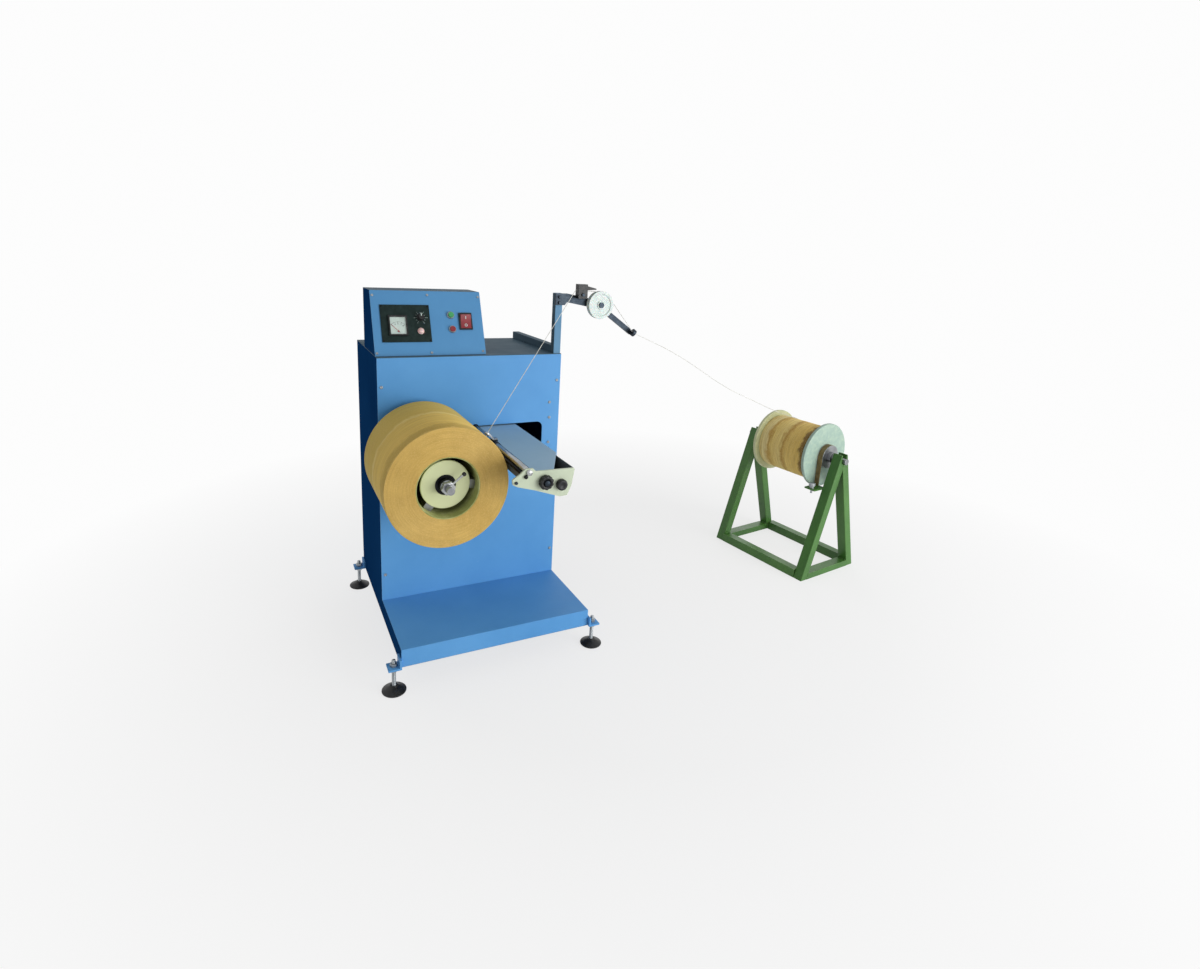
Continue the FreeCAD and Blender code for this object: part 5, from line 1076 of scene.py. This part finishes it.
def makeRocker(s):
    cap = [(v, capHeight(v)) for v in np.linspace(-s["half"], s["half"], s["steps"])]
    outline = cap + [(s["half"], s["lip"]), (s["stem"], s["foot"]), (-s["stem"], s["foot"]),
                     (-s["half"], s["lip"])]
    body = barPart(outline, s["left"], s["right"], tipped, "rocker_plastic")
    across, tall = s["barHalf"]
    low, high = s["markSunk"], s["markRise"]
    bar = barPart(rectangle(-tall, tall, s["markAt"] - across, s["markAt"] + across), low, high, onCap,
                  "white_plastic")
    angle = np.linspace(0, math.tau, 32, endpoint=False)
    rows = [(s["ringIn"], low), (s["ringOut"], low), (s["ringOut"], high), (s["ringIn"], high)]
    ring = np.array([np.stack([r * np.sin(angle), r * np.cos(angle) - s["markAt"], np.full(32, h)], -1)
                     for r, h in rows])
    marks = [bar, gridPart(onCap(ring), "white_plastic", True, False)]
    roundEdges(makePiece("rockerSwitch", [body], "rocker_switch"), s["rounding"], 3, 40)
    makePiece("rockerMarks", marks, "rocker_marks", "rocker")


# Weld beads of the stand, each from one end to the other in the stand's own frame.
weldSet = dict(
    radius=2.3, ripple=0.22, ripplePitch=2.6, sides=10, railEnd=198.0, railIn=134.0, railOut=159.0,
    railTop=36.0, barEnd=125.6, barTop=26.0, barFaces=((-238.0, -198.0), (198.0, 238.0)), apexLow=455.0,
    apexHigh=475.0, postLow=3.0, barInset=4.0, perRipple=6)


def weldLines(s):
    lines = []
    for side in (-1, 1):
        for end in (-1, 1):
            x, y, z = side * s["railIn"], end * s["railEnd"], s["railTop"]
            lines.append(((x, y, z), (side * s["railOut"], y, z)))
            lines.append(((x, y, s["postLow"]), (x, y, z)))
        for near, far in s["barFaces"]:
            x, z = side * s["barEnd"], s["barTop"]
            lines.append(((x, near + s["barInset"], z), (x, far - s["barInset"], z)))
    for near, far in s["barFaces"]:
        lines.append(((0, near, s["apexLow"]), (0, near, s["apexHigh"])))
        lines.append(((0, far, s["apexLow"]), (0, far, s["apexHigh"])))
    return lines


def makeWelds(s):
    # tube whose radius(t) = radius (1 + ripple sin(2 pi length t / pitch)), drawn in to nothing at its ends
    parts = []
    for start, end in weldLines(s):
        start, end = standMillimetres(start), standMillimetres(end)
        length = np.linalg.norm(end - start)
        t = np.linspace(0, 1, int(length / s["ripplePitch"] * s["perRipple"]))
        bead = s["radius"] * (1 + s["ripple"] * np.sin(math.tau * length * t / s["ripplePitch"]))
        bead *= np.clip(np.minimum(t, 1 - t) * length / 2, 0, 1) ** 0.5
        profile = np.stack([bead, t * length], -1)
        parts.append(turnedPart(profile, start, end - start, s["sides"], "stand_paint"))
    makePiece("standWelds", parts, "stand_welds", "root")


makeRocker(rockerSet)
makeWelds(weldSet)
print("detailed pieces made")


# Nodes whose CAD shape stays, with the radius of their rounded edges in millimetres.
roundedNodes = {
    "base_plate": 2.0, "foot_lugs": 0.8, "foot_pads": 0.8, "front_panel": 0.7, "side_panels": 0.7,
    "rear_cover": 0.6, "top_panel": 0.7, "mast_frame": 2.0, "cable_gland": 0.6, "control_box_shell": 0.7,
    "control_face": 0.6, "instrument_plate": 0.6, "meter_case": 0.8, "meter_needle": 0.1, "meter_window": 0.2,
    "pilot_lamp": 0.5, "switch_housings": 0.5, "start_button": 0.6, "stop_button": 0.6, "speed_drive": 0.8,
    "spindle_shaft": 0.8, "mandrel": 0.8, "core_tube": 0.4, "rear_flange": 0.8, "clamp_disc": 0.6,
    "bearing_beams": 1.5, "spindle_bearings": 1.5, "spindle_pulleys": 0.8, "motor": 1.5, "motor_rotor": 0.8,
    "drive_belts": 0.4, "traverse_channel": 0.9, "traverse_cover": 0.6, "traverse_end_plates": 1.0,
    "traverse_carriage": 0.8, "wire_arm": 0.6, "guide_arm": 0.8, "arm_bolts": 0.5, "guide_block": 1.2,
    "guide_pulley": 0.6, "guide_rod": 0.8, "stand_legs": 2.2, "stand_rails": 1.6, "spool_shaft": 0.8,
    "supply_spool": 1.0, "brake_band": 0.6, "brake_screw": 0.6,
}
# the navy and slate finishes here are painted shade on the box shell, the side panels and the top panel
specialMaterials = {
    "control_face": "face_paint", "control_box_shell": "side_paint", "clamp_disc": "disc_paint",
    "side_panels": "side_paint", "top_panel": "top_paint", "mast_frame": "mast_paint",
    "traverse_channel": "channel_paint", "pilot_lamp": "lamp_plastic", "arm_bolts": "dark_steel",
    "stop_button": "rocker_plastic",
}


def cadPieceName(node):
    parts = node.split("_")
    return parts[0] + "".join(p.capitalize() for p in parts[1:])


for nodeName, edgeRadius in roundedNodes.items():
    material = specialMaterials.get(nodeName, slotOfNode[nodeName])
    nodeCopy(cadPieceName(nodeName), nodeName, edgeRadius, material)
print("plain nodes finished:", len(roundedNodes))


def refinish(pieceName, material, chosen):
    # a second finish on the faces that chosen(middles, normals) picks, middles in drawing millimetres
    mesh = bpy.data.objects[pieceName].data
    count = len(mesh.polygons)
    middles, normals = np.empty(count * 3), np.empty(count * 3)
    mesh.polygons.foreach_get("center", middles)
    mesh.polygons.foreach_get("normal", normals)
    picked = chosen((middles.reshape(-1, 3) - drawingZero) * 1000, normals.reshape(-1, 3))
    mesh.materials.append(materials[material])
    mesh.polygons.foreach_set("material_index", np.where(picked, len(mesh.materials) - 1, 0))


# painted shade by facing: the mast's rail and left face and the box's top take the slate, the base's two
# sides the navy
refinish("mastFrame", "top_paint", lambda middle, normal: (middle[:, 1] > 28.5) | (normal[:, 0] < -0.9))
refinish("controlBoxShell", "top_paint", lambda middle, normal: normal[:, 2] > 0.7)
refinish("basePlate", "side_paint", lambda middle, normal: np.abs(normal[:, 0]) > 0.9)
refinish("switchHousings", "zinc_steel", lambda middle, normal: middle[:, 0] < 260.0)
refinish("supplySpool", "old_plastic", lambda middle, normal: middle[:, 1] > 100.0)

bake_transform(feedWire)

# Floor, light and sky.
stageSet = dict(
    floorRadius=14.0, clearOut=2.4, clearIn=0.9, least=0.72, floor=srgb(236, 236, 236), sky=0.98,
    skyLight=0.45, keyPower=104.0, keyPlace=(1.7, -3.0, 0.9), keySize=2.8, fillPower=14.0,
    fillPlace=(2.8, 3.2, 1.6), fillSize=2.5, aim=(-0.3, 0.0, 0.6))


def makeFloor(s):
    # disc of rings; its far part fades into the sky's own grey, so no horizon shows
    angle = np.linspace(0, math.tau, 96, endpoint=False)
    radius = np.concatenate([[0.001], np.geomspace(0.5, s["floorRadius"], 24)])
    points = np.stack([radius[:, None] * np.cos(angle), radius[:, None] * np.sin(angle),
                       np.zeros((len(radius), len(angle)))], -1).reshape(-1, 3)
    mesh = bpy.data.meshes.new("floor")
    mesh.from_pydata(points.tolist(), [], gridQuads(len(radius), len(angle)).tolist())
    floor = bpy.data.objects.new("floor", mesh)
    scene.collection.objects.link(floor)
    material, tree, shader = newMaterial("floorPaper", Base_Color=(*s["floor"], 1), Roughness=0.9,
                                         Specular_IOR_Level=0.1)
    point = node(tree, "TexCoord").outputs["Object"]
    away = node(tree, "VectorMath", {"operation": "LENGTH"}, _0=point).outputs["Value"]
    fade = level(tree, away, s["clearIn"], s["clearOut"], s["least"], 1.0)
    path = node(tree, "LightPath")
    seen = maths(tree, "MAXIMUM", path.outputs["Is Camera Ray"], path.outputs["Is Glossy Ray"])
    glow = node(tree, "Emission", Color=(s["sky"], s["sky"], s["sky"], 1), Strength=1.0)
    mix = node(tree, "MixShader", _0=maths(tree, "MULTIPLY", fade, seen))
    tree.links.new(shader.outputs[0], mix.inputs[1])
    tree.links.new(glow.outputs[0], mix.inputs[2])
    tree.links.new(mix.outputs[0], tree.nodes["Material Output"].inputs["Surface"])
    mesh.materials.append(material)


def makeSky(s):
    world = bpy.data.worlds.new("studio")
    scene.world = world
    world.use_nodes = True
    tree = world.node_tree
    light = tree.nodes["Background"]
    light.inputs["Color"].default_value = (1, 1, 1, 1)
    light.inputs["Strength"].default_value = s["skyLight"]
    seen = node(tree, "Background", Color=(s["sky"], s["sky"], s["sky"], 1), Strength=1.0)
    path = node(tree, "LightPath")
    direct = maths(tree, "MAXIMUM", path.outputs["Is Camera Ray"], path.outputs["Is Transmission Ray"])
    direct = maths(tree, "MAXIMUM", direct, path.outputs["Is Glossy Ray"])
    mix = node(tree, "MixShader", _0=direct)
    tree.links.new(light.outputs[0], mix.inputs[1])
    tree.links.new(seen.outputs[0], mix.inputs[2])
    tree.links.new(mix.outputs[0], tree.nodes["World Output"].inputs["Surface"])


def makeLamp(name, place, power, size, aim):
    data = bpy.data.lights.new(name, "AREA")
    data.energy = power
    data.size = size
    data.shape = "DISK"
    lamp = bpy.data.objects.new(name, data)
    lamp.location = place
    lamp.rotation_euler = (Vector(aim) - Vector(place)).to_track_quat("-Z", "Y").to_euler()
    scene.collection.objects.link(lamp)


makeFloor(stageSet)
makeSky(stageSet)
makeLamp("key", stageSet["keyPlace"], stageSet["keyPower"], stageSet["keySize"], stageSet["aim"])
makeLamp("fill", stageSet["fillPlace"], stageSet["fillPower"], stageSet["fillSize"], stageSet["aim"])
print("stage lit")
